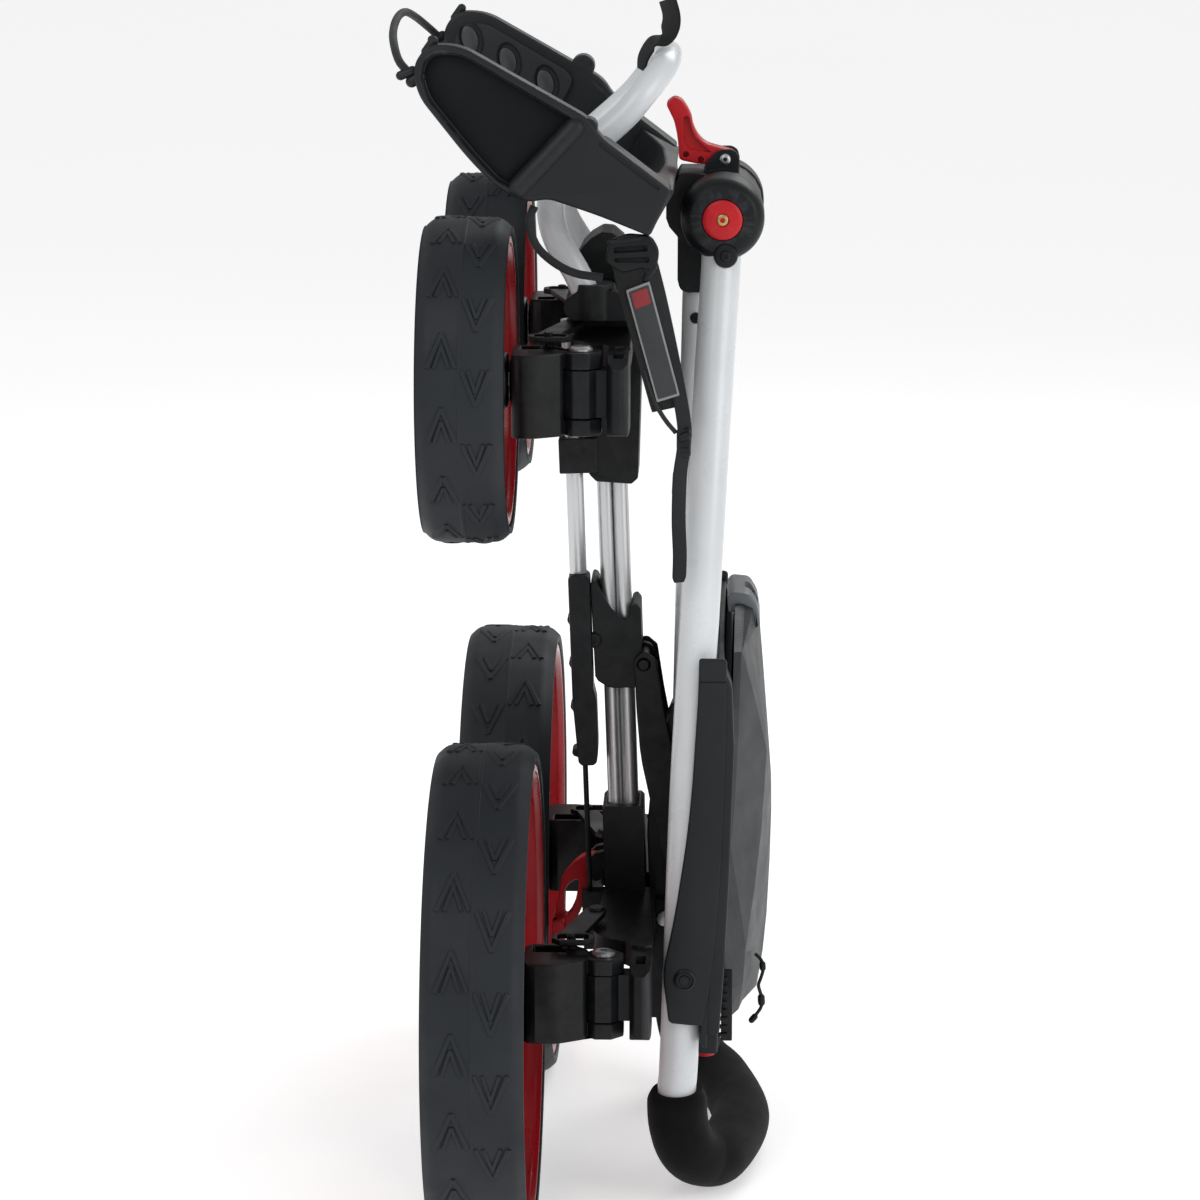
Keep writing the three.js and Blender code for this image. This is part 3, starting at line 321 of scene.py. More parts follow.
def plate(ring, plane, low, high, edge=0.7, steps=2):
    """The ring as a plate from low to high along the third axis, with rounded edges."""
    ring = [Vector(p[:2]) for p in ring]
    rows = [(0, low), (0, high)]
    if edge > 0:
        rows = []
        for k in range(steps + 1):
            a = math.pi / 2 * k / steps
            rows.append((edge * (1 - math.sin(a)), low + edge * (1 - math.cos(a))))
        rows += [(w, low + high - at) for w, at in reversed(rows)]
    layers = []
    for width, at in rows:
        moved = inset(ring, width) if width > 1e-6 else ring
        layers.append(layer(moved, plane, at))
    return loft(layers)


def box(x, y, z, edge=0.7):
    ring = outline([(x[0], y[0]), (x[1], y[0]), (x[1], y[1]), (x[0], y[1])], edge)
    return plate(ring, "XY", z[0], z[1], edge)


def lathe(profile, segments=48, axis="X", at=(0, 0), closed=False):
    """A turned shape. The profile lists (distance along the axis, radius); a closed one is a ring."""
    verts = []
    for along, r in profile:
        for k in range(segments):
            u = at[0] + r * math.cos(TAU * k / segments)
            v = at[1] + r * math.sin(TAU * k / segments)
            verts.append({"X": (along, u, v), "Y": (u, along, v), "Z": (u, v, along)}[axis])
    rows = len(profile)
    faces = []
    for i in range(rows if closed else rows - 1):
        j = (i + 1) % rows
        for k in range(segments):
            m = (k + 1) % segments
            faces.append([i * segments + k, i * segments + m, j * segments + m, j * segments + k])
    return mesh_of(verts, faces)


def rod(axis, radius, low, high, at, segments=32, edge=0.5):
    profile = [(low, 0), (low, radius - edge), (low + edge * 0.3, radius - edge * 0.3), (low + edge, radius)]
    profile += [(low + high - a, r) for a, r in reversed(profile)]
    return lathe(profile, segments, axis, at)


def ring_of(points, radius, steps=3, segments=64):
    """A ring turned about X from a rounded closed profile."""
    profile = [(p.x, p.y) for p in outline(points, radius, steps)]
    return lathe(profile, segments, closed=True)


def both_sides(half, *middle):
    """The points, any in the middle, and the mirror images of the first ones in reverse order."""
    return [*half, *middle, *[(x, -y, z) for x, y, z in reversed(half)]]


def curve_through(points, steps=6):
    """A smooth line through the points."""
    points = [Vector(p) for p in points]
    padded = [points[0] * 2 - points[1], *points, points[-1] * 2 - points[-2]]
    line = []
    for i in range(1, len(padded) - 2):
        a, b, c, d = padded[i - 1 : i + 3]
        for k in range(steps):
            t = k / steps
            square = (2 * a - 5 * b + 4 * c - d) * t**2
            cube = (3 * b - a - 3 * c + d) * t**3
            line.append(0.5 * (2 * b + (c - a) * t + square + cube))
    return [*line, points[-1]]


def circle(radius, sides):
    return [Vector((radius * math.cos(TAU * k / sides),
                    radius * math.sin(TAU * k / sides))) for k in range(sides)]


def hexagon(at, radius):
    return [Vector(at) + p for p in circle(radius, 6)]


def rings_along(line, section, across=None, scale=None):
    """The section at each point of the line. Across fixes the direction of the section's first axis."""
    tangents = []
    for i in range(len(line)):
        a = line[max(i - 1, 0)]
        b = line[min(i + 1, len(line) - 1)]
        tangents.append((b - a).normalized())
    side = Vector(across) if across else tangents[0].orthogonal()
    rings = []
    for i, (here, tangent) in enumerate(zip(line, tangents)):
        if across:
            side = Vector(across)
        side = (side - tangent * side.dot(tangent)).normalized()
        normal = tangent.cross(side)
        size = scale(i / (len(line) - 1)) if scale else 1
        grow = size if isinstance(size, tuple) else (size, size)
        rings.append([here + side * p.x * grow[0] + normal * p.y * grow[1] for p in section])
    return rings


def tube(line, radius, sides=28, wall=0, scale=None):
    """A round tube along a line; with a wall it is hollow and open at both ends."""
    outer = rings_along(line, circle(radius, sides), scale=scale)
    if not wall:
        return loft(outer)
    inner = rings_along(line, circle(radius - wall, sides))
    return loft([*outer, *reversed(inner), outer[0]], capped=False)


def ribbon(line, width, thickness, across, scale=None):
    """A flat strap along a line, with rounded long edges."""
    w = width / 2
    t = thickness / 2
    section = outline([(-w, -t), (w, -t), (w, t), (-w, t)], t, 3)
    return loft(rings_along(line, section, across, scale))


def baked(host):
    """The mesh of an object with its modifiers applied."""
    graph = bpy.context.evaluated_depsgraph_get()
    return bpy.data.meshes.new_from_object(host.evaluated_get(graph))


def combine(base, others, operation):
    """The base with the others joined to it or cut from it, as one mesh."""
    host = link_object("host", base)
    made = [host]
    for other in others:
        tool = link_object("tool", other)
        made.append(tool)
        modifier = host.modifiers.new("combine", "BOOLEAN")
        modifier.operation = operation
        modifier.solver = "MANIFOLD"
        modifier.object = tool
    result = baked(host)
    for obj in made:
        bpy.data.objects.remove(obj)
    return result


def cut(base, *tools):
    return combine(base, tools, "DIFFERENCE")


def fuse(base, *others):
    return combine(base, others, "UNION")


def together(*meshes):
    """Separate shells in one mesh."""
    bm = bmesh.new()
    for mesh in meshes:
        bm.from_mesh(mesh)
    result = bpy.data.meshes.new("shape")
    bm.to_mesh(result)
    bm.free()
    return result


def changed(mesh, matrix):
    """A moved copy that still faces outwards."""
    copy = mesh.copy()
    copy.transform(matrix)
    if matrix.determinant() < 0:
        copy.flip_normals()
    return copy


def mirrored(mesh):
    return changed(mesh, MIRROR)


def unchanged(mesh):
    return mesh.copy()


def spun(mesh, step, count):
    """A copy turned about X by a number of steps, of which count make a full turn."""
    return changed(mesh, Matrix.Rotation(TAU * step / count, 4, "X"))


SIDES = (("left", unchanged), ("right", mirrored))


def bevel_edges(bm, width, degrees, clamp):
    """Narrow bevels on the edges that turn by more than an angle."""
    limit = math.radians(degrees)
    sharp = [e for e in bm.edges if len(e.link_faces) == 2 and e.calc_face_angle(0) > limit]
    bmesh.ops.bevel(bm, geom=sharp, offset=width, offset_type="OFFSET", segments=2, profile=0.5,
                    affect="EDGES", clamp_overlap=clamp)


def cad_copy(node, width, weld):
    """A CAD node's mesh, in trolley millimetres, with its hard edges rounded off."""
    bm = bmesh.new()
    bm.from_mesh(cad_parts[node].data)
    bm.transform(TO_FRAME.inverted())
    bmesh.ops.remove_doubles(bm, verts=bm.verts, dist=weld)
    bmesh.ops.dissolve_degenerate(bm, edges=bm.edges, dist=0.05)
    bmesh.ops.dissolve_limit(bm, angle_limit=math.radians(1.5), verts=bm.verts, edges=bm.edges)
    bevel_edges(bm, width, 28, False)
    mesh = bpy.data.meshes.new("shape")
    bm.to_mesh(mesh)
    bm.free()
    return flat_faced(mesh)


def flat_faced(mesh):
    """The mesh with its normals led by the large faces, so bevels round off and flats stay flat."""
    mesh.shade_smooth()
    mesh.set_sharp_from_angle(angle=math.radians(40))
    host = link_object("host", mesh)
    modifier = host.modifiers.new("normals", "WEIGHTED_NORMAL")
    modifier.keep_sharp = True
    result = baked(host)
    bpy.data.objects.remove(host)
    return result


def piece(name, mesh, material, body, replaces=(), smooth=32):
    """A mesh in trolley millimetres, as a piece that rides on a body in place of any CAD nodes named."""
    mesh.transform(TO_FRAME)
    mesh.name = name
    mesh.materials.clear()
    mesh.materials.append(material)
    mesh.shade_smooth()
    mesh.set_sharp_from_angle(angle=math.radians(smooth))
    obj = link_object(name, mesh)
    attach(obj, body)
    if replaces:
        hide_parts(*([replaces] if isinstance(replaces, str) else replaces))
    return obj


def copy_piece(name, node, width, material, body, weld=0.35):
    """A rounded copy of a CAD node as the piece that takes its place."""
    piece(name, cad_copy(node, width, weld), material, body, node)


# ---------------------------------------------------------------- cords
def make_cord(name, points, radius, body, material, replaces=()):
    """A cord along a smooth line through the points."""
    line = [TO_FRAME @ p for p in curve_through(points, 4)]
    data = bpy.data.curves.new(name, "CURVE")
    data.dimensions = "3D"
    data.bevel_depth = radius * MM
    data.bevel_resolution = 5
    data.use_fill_caps = True
    spline = data.splines.new("POLY")
    spline.points.add(len(line) - 1)
    for point, place in zip(spline.points, line):
        point.co = (*place, 1)
    data.materials.append(material)
    obj = link_object(name, data)
    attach(obj, body)
    if replaces:
        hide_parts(replaces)
    return obj


make_cord("bungee_tip_cord", both_sides([(-111.5, -126, 705), (-118, -118, 712), (-124, -80, 722),
                                         (-126, -30, 728)]),
          BUNGEE_RADIUS, "main_frame", CORD, "bungee_tip")
make_cord("bungee_lower_cord", [(-38, -124, 626.5), (-41, -125, 617), (-37, -127, 604), (-27, -127, 594),
                                (-14, -125, 587), (2, -122, 584)],
          BUNGEE_RADIUS, "main_frame", CORD, "bungee_lower")
make_cord("strap_draw_cord", [(27, -127.6, 530), (33, -128.4, 512), (37, -128.2, 504), (41, -127.6, 498),
                              (46, -127, 492)], 1.4, "main_frame", CORD)
make_cord("lid_toggle_cord", [(96, -60, 148), (99.8, -61, 144.5), (101.4, -62.5, 139.5), (100, -64.5, 134),
                              (98.4, -65, 129), (99.6, -63, 123.5), (101, -61.5, 118.5), (100, -61.5, 113),
                              (97, -62, 108.5), (94.5, -62, 105)], 1.1, "lid", CORD)


# ---------------------------------------------------------------- wheels
REAR = dict(name="rear", radius=151.6, half=30, depth=11.5, hub=36, inset=7, chevrons=20, size=1.0)
FRONT = dict(name="front", radius=97.2, half=26, depth=10, hub=17, inset=0, chevrons=14, size=0.86)
RIDGE = 0.6
FLANK = 1.1
ARM_BACK = -24
SPOKES = 5
HUB_RIBS = 8


def centre_of(node):
    """The middle of a CAD node's box in trolley millimetres, as if it were on the right side."""
    low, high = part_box(node)
    middle = TO_FRAME.inverted() @ ((low + high) / 2)
    return Vector((middle.x, abs(middle.y), middle.z))


def tread_bar(c, start, end, half):
    """A raised bar on the tread between two points, each (across, along the tread)."""
    start = Vector(start) * c["size"]
    end = Vector(end) * c["size"]
    run = end - start
    normal = Vector((-run.y, run.x)).normalized()
    rings = []
    for k in range(6):
        p = start.lerp(end, k / 5)
        ring = []
        for offset, lift in ((-half - FLANK, -0.7), (half + FLANK, -0.7), (half, RIDGE), (-half, RIDGE)):
            q = p + normal * offset
            a = q.y / c["radius"]
            r = c["radius"] + lift
            ring.append((q.x, r * math.sin(a), r * math.cos(a)))
        rings.append(ring)
    return loft(rings)


def tyre_mesh(c):
    r = c["radius"]
    w = c["half"]
    bead = r - c["depth"] + 0.6
    carcass = ring_of([(-w + 0.4, bead, 1), (-w, bead + 4, 2), (-w + 0.2, r - 6, 5), (-w + 6, r - 0.6, 6),
                       (-1.2, r, 0.3), (-0.9, r + 0.3, 0.2), (0.9, r + 0.3, 0.2), (1.2, r, 0.3),
                       (w - 6, r - 0.6, 6), (w - 0.2, r - 6, 5), (w, bead + 4, 2), (w - 0.4, bead, 1)],
                      1, steps=4, segments=144)
    bars = []
    for side in (-1, 1):
        x = side * 11.5
        for apex, foot, spread, half in ((12, -12, 9.5, 1.0), (3, -12, 5, 0.8)):
            for leg in (-1, 1):
                bars.append(tread_bar(c, (x, apex * side), (x + leg * spread, foot * side), half))
    shells = [carcass]
    for k in range(c["chevrons"]):
        shells += [spun(bar, k + 0.25, c["chevrons"]) for bar in bars[:4]]
        shells += [spun(bar, k + 0.75, c["chevrons"]) for bar in bars[4:]]
    return together(*shells)


def rim_mesh(c):
    w = c["half"] - 1.6
    outer = c["radius"] - c["depth"] - 0.2
    barrel = ring_of([(-w, outer - 0.4, 0.6), (-w - 0.6, outer - 5, 1.2), (-w + 4, outer - 6.4, 1.5),
                      (-w + 10, outer - 4.6, 2), (w - 10, outer - 4.6, 2), (w - 4, outer - 6.4, 1.5),
                      (w + 0.6, outer - 5, 1.2), (w, outer - 0.4, 0.6)], 1, segments=128)
    low = -w + 7
    high = -w + 13
    boss = c["hub"] * 0.62 + 6
    disc = lathe([(low, 0), (low, outer - 5), (high, outer - 5), (high, 0)], 96)
    outside = outer - 13
    inside = max(boss + 7, outside - 60)
    half_in = math.pi * inside / SPOKES - 6
    half_out = math.pi * outside / SPOKES - 10
    window = plate(outline([(-half_in, inside), (half_in, inside), (half_out, outside * 0.93), (0, outside),
                            (-half_out, outside * 0.93)], 9, 6), "YZ", low - 3, high + 3, 0)
    windows = [spun(window, k, SPOKES) for k in range(SPOKES)]
    rib = box((low - 3, high + 4), (-2.2, 2.2), (boss - 3, outside + 9), 1.2)
    ribs = [spun(rib, k + 0.5, SPOKES) for k in range(SPOKES)]
    hub = rod("X", boss, -w + 2, 2, (0, 0), 64, 1.5)
    bore = rod("X", 10.5, -w - 20, w + 20, (0, 0), 40)
    return cut(fuse(cut(disc, *windows), hub, barrel, *ribs), bore)


def hub_mesh(c):
    w = c["half"]
    r = c["hub"]
    end = w - c["inset"] - 2
    drum = ring_of([(2.4, 8, 0.5), (2.4, r - 0.5, 1), (4, r, 1), (end - 1.5, r, 1.5), (end, r - 2, 1),
                    (end, r - 4, 1), (end - 5, r - 6, 1), (end - 5, 14, 2), (end, 12, 1), (end, 6, 0.5)],
                   1, segments=72)
    sleeve = ring_of([(-w + 6, 6, 0.3), (-w + 6, 9.6, 0.6), (3, 9.6, 0.3), (3, 6, 0.3)], 0.3)
    rib = box((end - 7, end - 1), (-1.1, 1.1), (12, r - 4), 0.4)
    return fuse(drum, sleeve, *[spun(rib, k, HUB_RIBS) for k in range(HUB_RIBS)])


def axle_meshes(c, reach):
    """The steel shaft and the black dome that closes the hub from outside."""
    w = c["half"]
    shaft = rod("X", 5, -w - 1, reach, (0, 0), 32, 0.6)
    dome = lathe([(-w - 4.8, 0), (-w - 4.8, 7), (-w - 4.2, 10), (-w - 3, 12.6), (-w - 1.6, 14),
                  (-w + 0.4, 14), (-w + 0.4, 0)], 48)
    socket = plate(outline(hexagon((0, 0), 5), 0.4), "YZ", -w - 8, -w - 3.4, 0)
    return shaft, cut(dome, socket)


def add_wheel(c, side, meshes):
    label = f"{c['name']}_{side}"
    centre = centre_of(f"{label}_tyre")
    place = Matrix.Translation(centre)
    if side == "left":
        place = MIRROR @ place

    def put(name, mesh, material, body, replaces=(), smooth=32):
        piece(f"{label}_{name}", changed(mesh, place), material, f"{label}_{body}", replaces, smooth=smooth)

    put("tyre_shell", meshes["tyre"], TYRE, "wheel", f"{label}_tyre", 40)
    put("rim_casting", meshes["rim"], RIM, "wheel", f"{label}_rim")
    put("hub_drum", meshes["hub"], BLACK, "wheel", f"{label}_hub")
    put("axle_shaft", meshes["shaft"], STEEL, "swing_arm", f"{label}_axle")
    put("axle_dome", meshes["dome"], HOUSING, "swing_arm")


for corner, hinge_gap in ((FRONT, 67), (REAR, 71)):
    shaft, dome = axle_meshes(corner, hinge_gap + ARM_BACK)
    shapes = {"tyre": tyre_mesh(corner), "rim": rim_mesh(corner), "hub": hub_mesh(corner), "shaft": shaft,
              "dome": dome}
    for hand in ("left", "right"):
        add_wheel(corner, hand, shapes)


# ---------------------------------------------------------------- corners: arms, links and hinge pins
def pin_mesh(node):
    low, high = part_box(node)
    inverse = TO_FRAME.inverted()
    low = inverse @ low
    high = inverse @ high
    x = (low.x + high.x) / 2
    y = (low.y + high.y) / 2
    shaft = rod("Z", 4.5, low.z, high.z - 1, (x, y), 32)
    head = lathe([(high.z - 2.7, 0), (high.z - 2.7, 7.2), (high.z - 1.4, 7.2), (high.z - 0.4, 6),
                  (high.z, 4.4), (high.z, 0)], 36, "Z", (x, y))
    socket = plate(hexagon((x, y), 2.6), "XY", high.z - 1.8, high.z + 2, 0)
    return cut(fuse(shaft, head), socket)


for corner in (FRONT, REAR):
    for side in ("left", "right"):
        label = f"{corner['name']}_{side}"
        copy_piece(f"{label}_arm_moulding", f"{label}_arm", 1.0, BLACK, f"{label}_swing_arm")
        piece(f"{label}_pin_bolt", pin_mesh(f"{label}_hinge_pin"), STEEL, "chassis", f"{label}_hinge_pin")
        copy_piece(f"{label}_link_bar", f"{label}_shift_link", 0.6, BLACK, f"{label}_link")


# ---------------------------------------------------------------- rail, rods and housings
def in_rail(mesh):
    return changed(mesh, RAIL_FRAME)


def rail_mesh():
    """Two round lobes along X, as one extrusion that is deeper than wide."""
    lobe = 4.75
    depth = 26
    bottom = -22
    top = 404
    straight = depth / 2 - lobe
    ring = []
    for x, y, first in ((lobe, -straight, 180), (lobe, straight, 0), (-lobe, straight, 0),
                        (-lobe, -straight, 180)):
        for k in range(13):
            a = math.radians(first + 180 * k / 12)
            p = Vector((x + lobe * math.cos(a), y + lobe * math.sin(a)))
            if not ring or (p - ring[-1]).length > 0.01:
                ring.append(p)
    ring.pop()
    return plate(ring, "XY", bottom, top, 0)


piece("rail_extrusion", in_rail(rail_mesh()), ALLOY, "chassis", "rail", smooth=50)
piece("push_rod_tube", in_rail(rod("Z", ROD_RADIUS, 231, 392, ROD_AT, 40)), ALLOY, "slider_unit", "push_rod")
piece("shift_wire_rod", in_rail(rod("Z", WIRE_RADIUS, 20, 107.6, ROD_AT, 20)), BLACK, "slider_unit",
      "shift_wire")
copy_piece("front_crosshead", "front_housing", 0.9, HOUSING, "chassis", weld=0.02)
copy_piece("rear_crosshead", "rear_housing", 0.25, HOUSING, "chassis", weld=0.02)
copy_piece("slider_block", "slider", 0.8, HOUSING, "slider_unit")
copy_piece("grip_bar_moulding", "grip_bar", 0.9, HOUSING, "slider_unit")
copy_piece("strut_link_pair", "strut", 1.0, HOUSING, "strut_link")
copy_piece("tube_socket_moulding", "tube_socket", 1.2, HOUSING, "main_frame")
piece("pivot_pin_bolt", rod("Y", 5, -20.5, 20.5, (38, 158), 36, 0.8), STEEL, "chassis", "main_pivot_pin")
copy_piece("pedal_moulding", "brake_pedal", 0.8, RED, "pedal")


def screw_mesh(at, radius, axis_y, depth=1.6):
    """A pan-head screw facing the trolley's left side."""
    head = lathe([(axis_y, 0), (axis_y, radius * 0.6), (axis_y + 0.5, radius * 0.88),
                  (axis_y + depth * 0.6, radius), (axis_y + depth, radius), (axis_y + depth, 0)], 28, "Y", at)
    slot = plate(hexagon(at, radius * 0.42), "XZ", axis_y - 2, axis_y + 0.9, 0)
    return cut(head, slot)


piece("slider_screw", screw_mesh((-6.7, 340), 5, -21.2, 3), HOUSING, "slider_unit")
piece("tube_screw", screw_mesh((56.4, 543.5), 3.6, -13.6, 2.6), BLACK, "main_frame")

# ---------------------------------------------------------------- base hoop and its strap
hoop_leg = [(-5, -60, 553), (-15, -60, 577), (-28, -60, 600), (-31, -60, 622), (-22, -60, 641),
            (12, -60, 672)]
hoop_half = [*hoop_leg, (25, -57, 687), (35, -44, 699), (38, -26, 703)]
hoop_line = curve_through(both_sides(hoop_half, (38.5, 0, 704)), 7)
piece("base_hoop_tube", tube(hoop_line, HOOP_RADIUS, 32, 1.5), WHITE, "chassis", "base_hoop", smooth=50)

strap_line = curve_through([(22.8, -27, 698), (24.2, -28, 706), (29.5, -30, 714.2), (36.5, -32, 717.5),
                            (40, -33, 723.5), (41, -34, 731), (38.5, -33, 741)], 8)


def hoop_strap_size(t):
    return (0.45 + 0.55 * min(1, t * 1.6), 1)


hoop_web = ribbon(strap_line, 21, STRAP_THICKNESS, (0.5, -0.86, 0), hoop_strap_size)
hoop_strap = piece("hoop_strap_web", hoop_web, WEBBING, "chassis", "hoop_strap", smooth=50)

# ---------------------------------------------------------------- main tube, hinge and cam lever
main_line = [Vector((54.8, 0, 262)), Vector((61, 0, 590))]
piece("main_tube_alloy", tube(main_line, MAIN_RADIUS, 40, 1.6), WHITE, "main_frame", "main_tube", smooth=50)
copy_piece("hinge_block_moulding", "hinge_block", 1.0, HOUSING, "main_frame")
piece("hinge_bolt_shank", rod("Y", 5, -60.7, 60.7, HINGE_AT, 36, 0.8), STEEL, "main_frame", "hinge_bolt")

HANDLE_HALF = [(72.5, -47, 597), (71.5, -54, 575), (66.5, -82, 490), (61, -104, 385), (54.5, -112, 260),
               (49.5, -112, 105), (48, -112, 76), (49, -110, 54), (54, -104, 36), (63, -92, 25),
               (76, -70, 20)]
GRIP_POINT = (88, 0, 18.9)


def handle_line(steps=8, below=1e9):
    half = [p for p in HANDLE_HALF if p[2] < below]
    return curve_through(both_sides(half, GRIP_POINT), steps)


def drum_mesh():
    y = DRUM_FACE
    drum = lathe([(y, 0), (y, 19.2), (y + 0.3, 20.2), (y + 1, 21.3), (y + 2.2, 22.6), (y + 3.8, 23.8),
                  (y + 5.6, 24.7), (y + 8, 25.3), (y + 11, 25.5), (-29, 25.5), (-28, 24.8), (-27.6, 23.6),
                  (-27.6, 0)], 96, "Y", HINGE_AT)
    hole = tube(curve_through(HANDLE_HALF[:5], 10), 12.3, 48)
    pocket = rod("Y", 12.7, y - 5, y + 3.4, HINGE_AT, 48, 0.3)
    bore = rod("Y", 5.3, y - 10, 0, HINGE_AT, 32)
    return cut(drum, hole, pocket, bore)


def cap_mesh():
    y = DRUM_FACE
    disc = lathe([(y - 1.6, 0), (y - 1.6, 9.6), (y - 1.2, 11.2), (y - 0.4, 12.1), (y + 3, 12.1), (y + 3, 0)],
                 64, "Y", HINGE_AT)
    well = lathe([(y - 4, 0), (y - 4, 5.4), (y - 1.4, 4.2), (y - 0.6, 3.9), (y - 0.6, 0)], 40, "Y", HINGE_AT)
    return cut(disc, well)


drum = drum_mesh()
lug = rod("Y", 7.4, -66, -48, LUG_AT, 44, 1.8)
cap = cap_mesh()
cap_bolt = screw_mesh(HINGE_AT, 4.2, -65.2, 1.6)
lug_bolt = screw_mesh(LUG_AT, 3.6, -67.4, 2.4)
for side, shape in SIDES:
    piece(f"drum_{side}_moulding", shape(drum), HOUSING, "handle", f"hinge_drum_{side}")
    piece(f"drum_{side}_lug", shape(lug), HOUSING, "handle")
    piece(f"drum_{side}_cap", shape(cap), RED, "handle", f"hinge_cap_{side}")
    piece(f"drum_{side}_bolt", shape(cap_bolt), BRASS, "handle")
    piece(f"drum_{side}_lug_bolt", shape(lug_bolt), BLACK, "handle")


def cam_lever_mesh():
    x, z = LEVER_PIN
    profile = outline([(x + 6, z - 2), (x + 6, z + 4), (x - 3, z + 6.5), (x - 12, z + 9, 5),
                       (x - 17, z + 14, 4), (x - 20, z + 20, 3), (x - 21, z + 26, 2), (x - 23.5, z + 31, 2),
                       (x - 27, z + 36, 4), (x - 31.5, z + 37.6, 4), (x - 36.8, z + 33.6, 3),
                       (x - 34.5, z + 29, 3), (x - 31.5, z + 23, 4), (x - 29.6, z + 14, 4),
                       (x - 28.8, z + 7, 4), (x - 28.6, z - 1, 3), (x - 16, z - 3.6, 3), (x - 8, z - 3, 3)],
                      3, 5)
    body = plate(profile, "XZ", -8.4, 8.4, 1.3, 3)
    hollow = plate(outline([(x - 22, z + 5.5), (x - 8, z + 3.5), (x - 12, z + 7), (x - 19, z + 13.5),
                            (x - 22.5, z + 26), (x - 26, z + 26), (x - 26, z + 11)], 2, 4),
                   "XZ", -12, -5.6, 0)
    bore = rod("Y", 2.4, -20, 20, (x, z), 28)
    dimples = [rod("Y", 1.9, -20, -3, at, 28) for at in ((x - 24.2, z + 2.6), (x - 15, z - 0.6))]
    return cut(body, hollow, changed(hollow, MIRROR), bore, *dimples)


piece("cam_lever_moulding", cam_lever_mesh(), RED, "cam_lever_body", "cam_lever")
piece("cam_lever_pin", screw_mesh(LEVER_PIN, 3.4, -13.8, 1.8), STEEL, "main_frame")


# ---------------------------------------------------------------- bag cradle
def in_cradle(mesh):
    return changed(mesh, CRADLE_FRAME)


def capsule(start, end, radius):
    """A rod with round ends between two points."""
    start = Vector(start)
    run = Vector(end) - start
    profile = []
    for k in range(7):
        a = math.pi / 2 * k / 6
        profile.append((-radius * math.cos(a), radius * math.sin(a)))
    profile += [(run.length - a, r) for a, r in reversed(profile)]
    mesh = lathe(profile, 24, "Z")
    mesh.transform(Matrix.Translation(start) @ run.to_track_quat("Z", "Y").to_matrix().to_4x4())
    return mesh


ARM_RING = [(1, 13, 3), (-51, 20, 8), (-62, 26, 6), (-148, 26, 16), (-165, 17, 12), (-167, 2, 12),
            (-156, -12, 12), (-112, -30, 30), (-87, -37, 12), (-69, -35, 6), (-60, -27, 6), (-28, -21, 8),
            (3, -17, 3)]
DISH_RING = [(-70, 20.5, 3), (-146, 21.5, 14), (-160.5, 13, 10), (-161.5, 2, 10), (-151, -10, 12),
             (-112, -25.5, 24), (-90, -32.5, 8), (-81, -31.5, 3)]
DISH_LINE = outline(DISH_RING, 6, 8)
INNER = 118
OUTER = 134


def cradle_mesh():
    arm = plate(outline(ARM_RING, 6, 8), "XZ", -OUTER, -INNER, 2.2, 4)
    dish = plate(DISH_LINE, "XZ", -OUTER - 6, -OUTER + 7.5, 1.6, 3)
    flare = loft([layer(inset(DISH_LINE, -2.6), "XZ", -OUTER - 3),
                  layer(inset(DISH_LINE, 0.4), "XZ", -OUTER + 2.5)])
    rib = capsule((-66.5, -OUTER + 3.4, 17), (-78, -OUTER + 3.4, -30), 6.6)
    side_groove = plate(outline([(-50, 15), (-6, 9), (-6, 11.5), (-50, 17.5)], 1), "XZ", -OUTER - 4,
                        -OUTER + 1.2, 0)
    beam = plate(outline([(1, 13, 3), (-51, 20, 6), (-60, -27, 6), (-28, -21, 6), (3, -17, 3)], 4), "XZ",
                 -INNER - 1, -INNER + 12, 1.2)
    left = fuse(cut(arm, dish, flare, side_groove), rib, beam)
    knob = lathe([(-OUTER - 2.5, 0), (-OUTER - 2.5, 5.4), (-OUTER - 1.8, 7), (-OUTER - 0.6, 7.6),
                  (-INNER - 1, 7.6), (-INNER, 6.8), (-INNER, 0)], 40, "Y", (-77, 26))
    hook = cut(rod("Y", 5.5, -OUTER + 1, -INNER, (-60, 21), 36, 0.8),
               rod("Y", 2.6, -OUTER - 5, -OUTER + 5, (-60, 21), 28))
    back_plan = [(3, -INNER - 1, 2), (3, -34, 12), (4, 0, 10), (3, 34, 12), (3, INNER + 1, 2),
                 (-26, INNER + 1, 4), (-26, INNER - 12, 10), (-9, INNER - 40, 20), (-5, 0, 20),
                 (-9, -INNER + 40, 20), (-26, -INNER + 12, 10), (-26, -INNER - 1, 4)]
    back = plate(outline(back_plan, 4, 6), "XY", -16, 12, 1.6, 3)
    return in_cradle(fuse(left, hook, mirrored(left), mirrored(knob), back))


piece("bag_cradle_moulding", cradle_mesh(), CRADLE, "main_frame", "bag_cradle")

# A thin dark sheet laid on each dish floor, painting the recess's shade.
dish_shade_sheet = in_cradle(plate(inset(DISH_LINE, 1.2), "XZ", -OUTER + 7.1, -OUTER + 8.2, 0.2))
hooks = together(capsule((-104.5, -126, 702.5), (-109.5, -126, 699.6), 3.6),
                 capsule((-101, -126, 717), (-96.5, -126, 723.3), 2.8),
                 capsule((-116, -126, 703), (-109, -126, 706), 2.8))


def oval_loft(centre, rows):
    """A closed shape through ovals tilted alike, each (y, half length, half width)."""
    turn = math.radians(-45)
    count = 36
    rings = []
    for y, a, b in rows:
        ring = []
        for k in range(count):
            u = a * math.cos(TAU * k / count)
            v = b * math.sin(TAU * k / count)
            ring.append((centre[0] + u * math.cos(turn) - v * math.sin(turn), y,
                         centre[1] + u * math.sin(turn) + v * math.cos(turn)))
        rings.append(ring)
    return loft(rings)


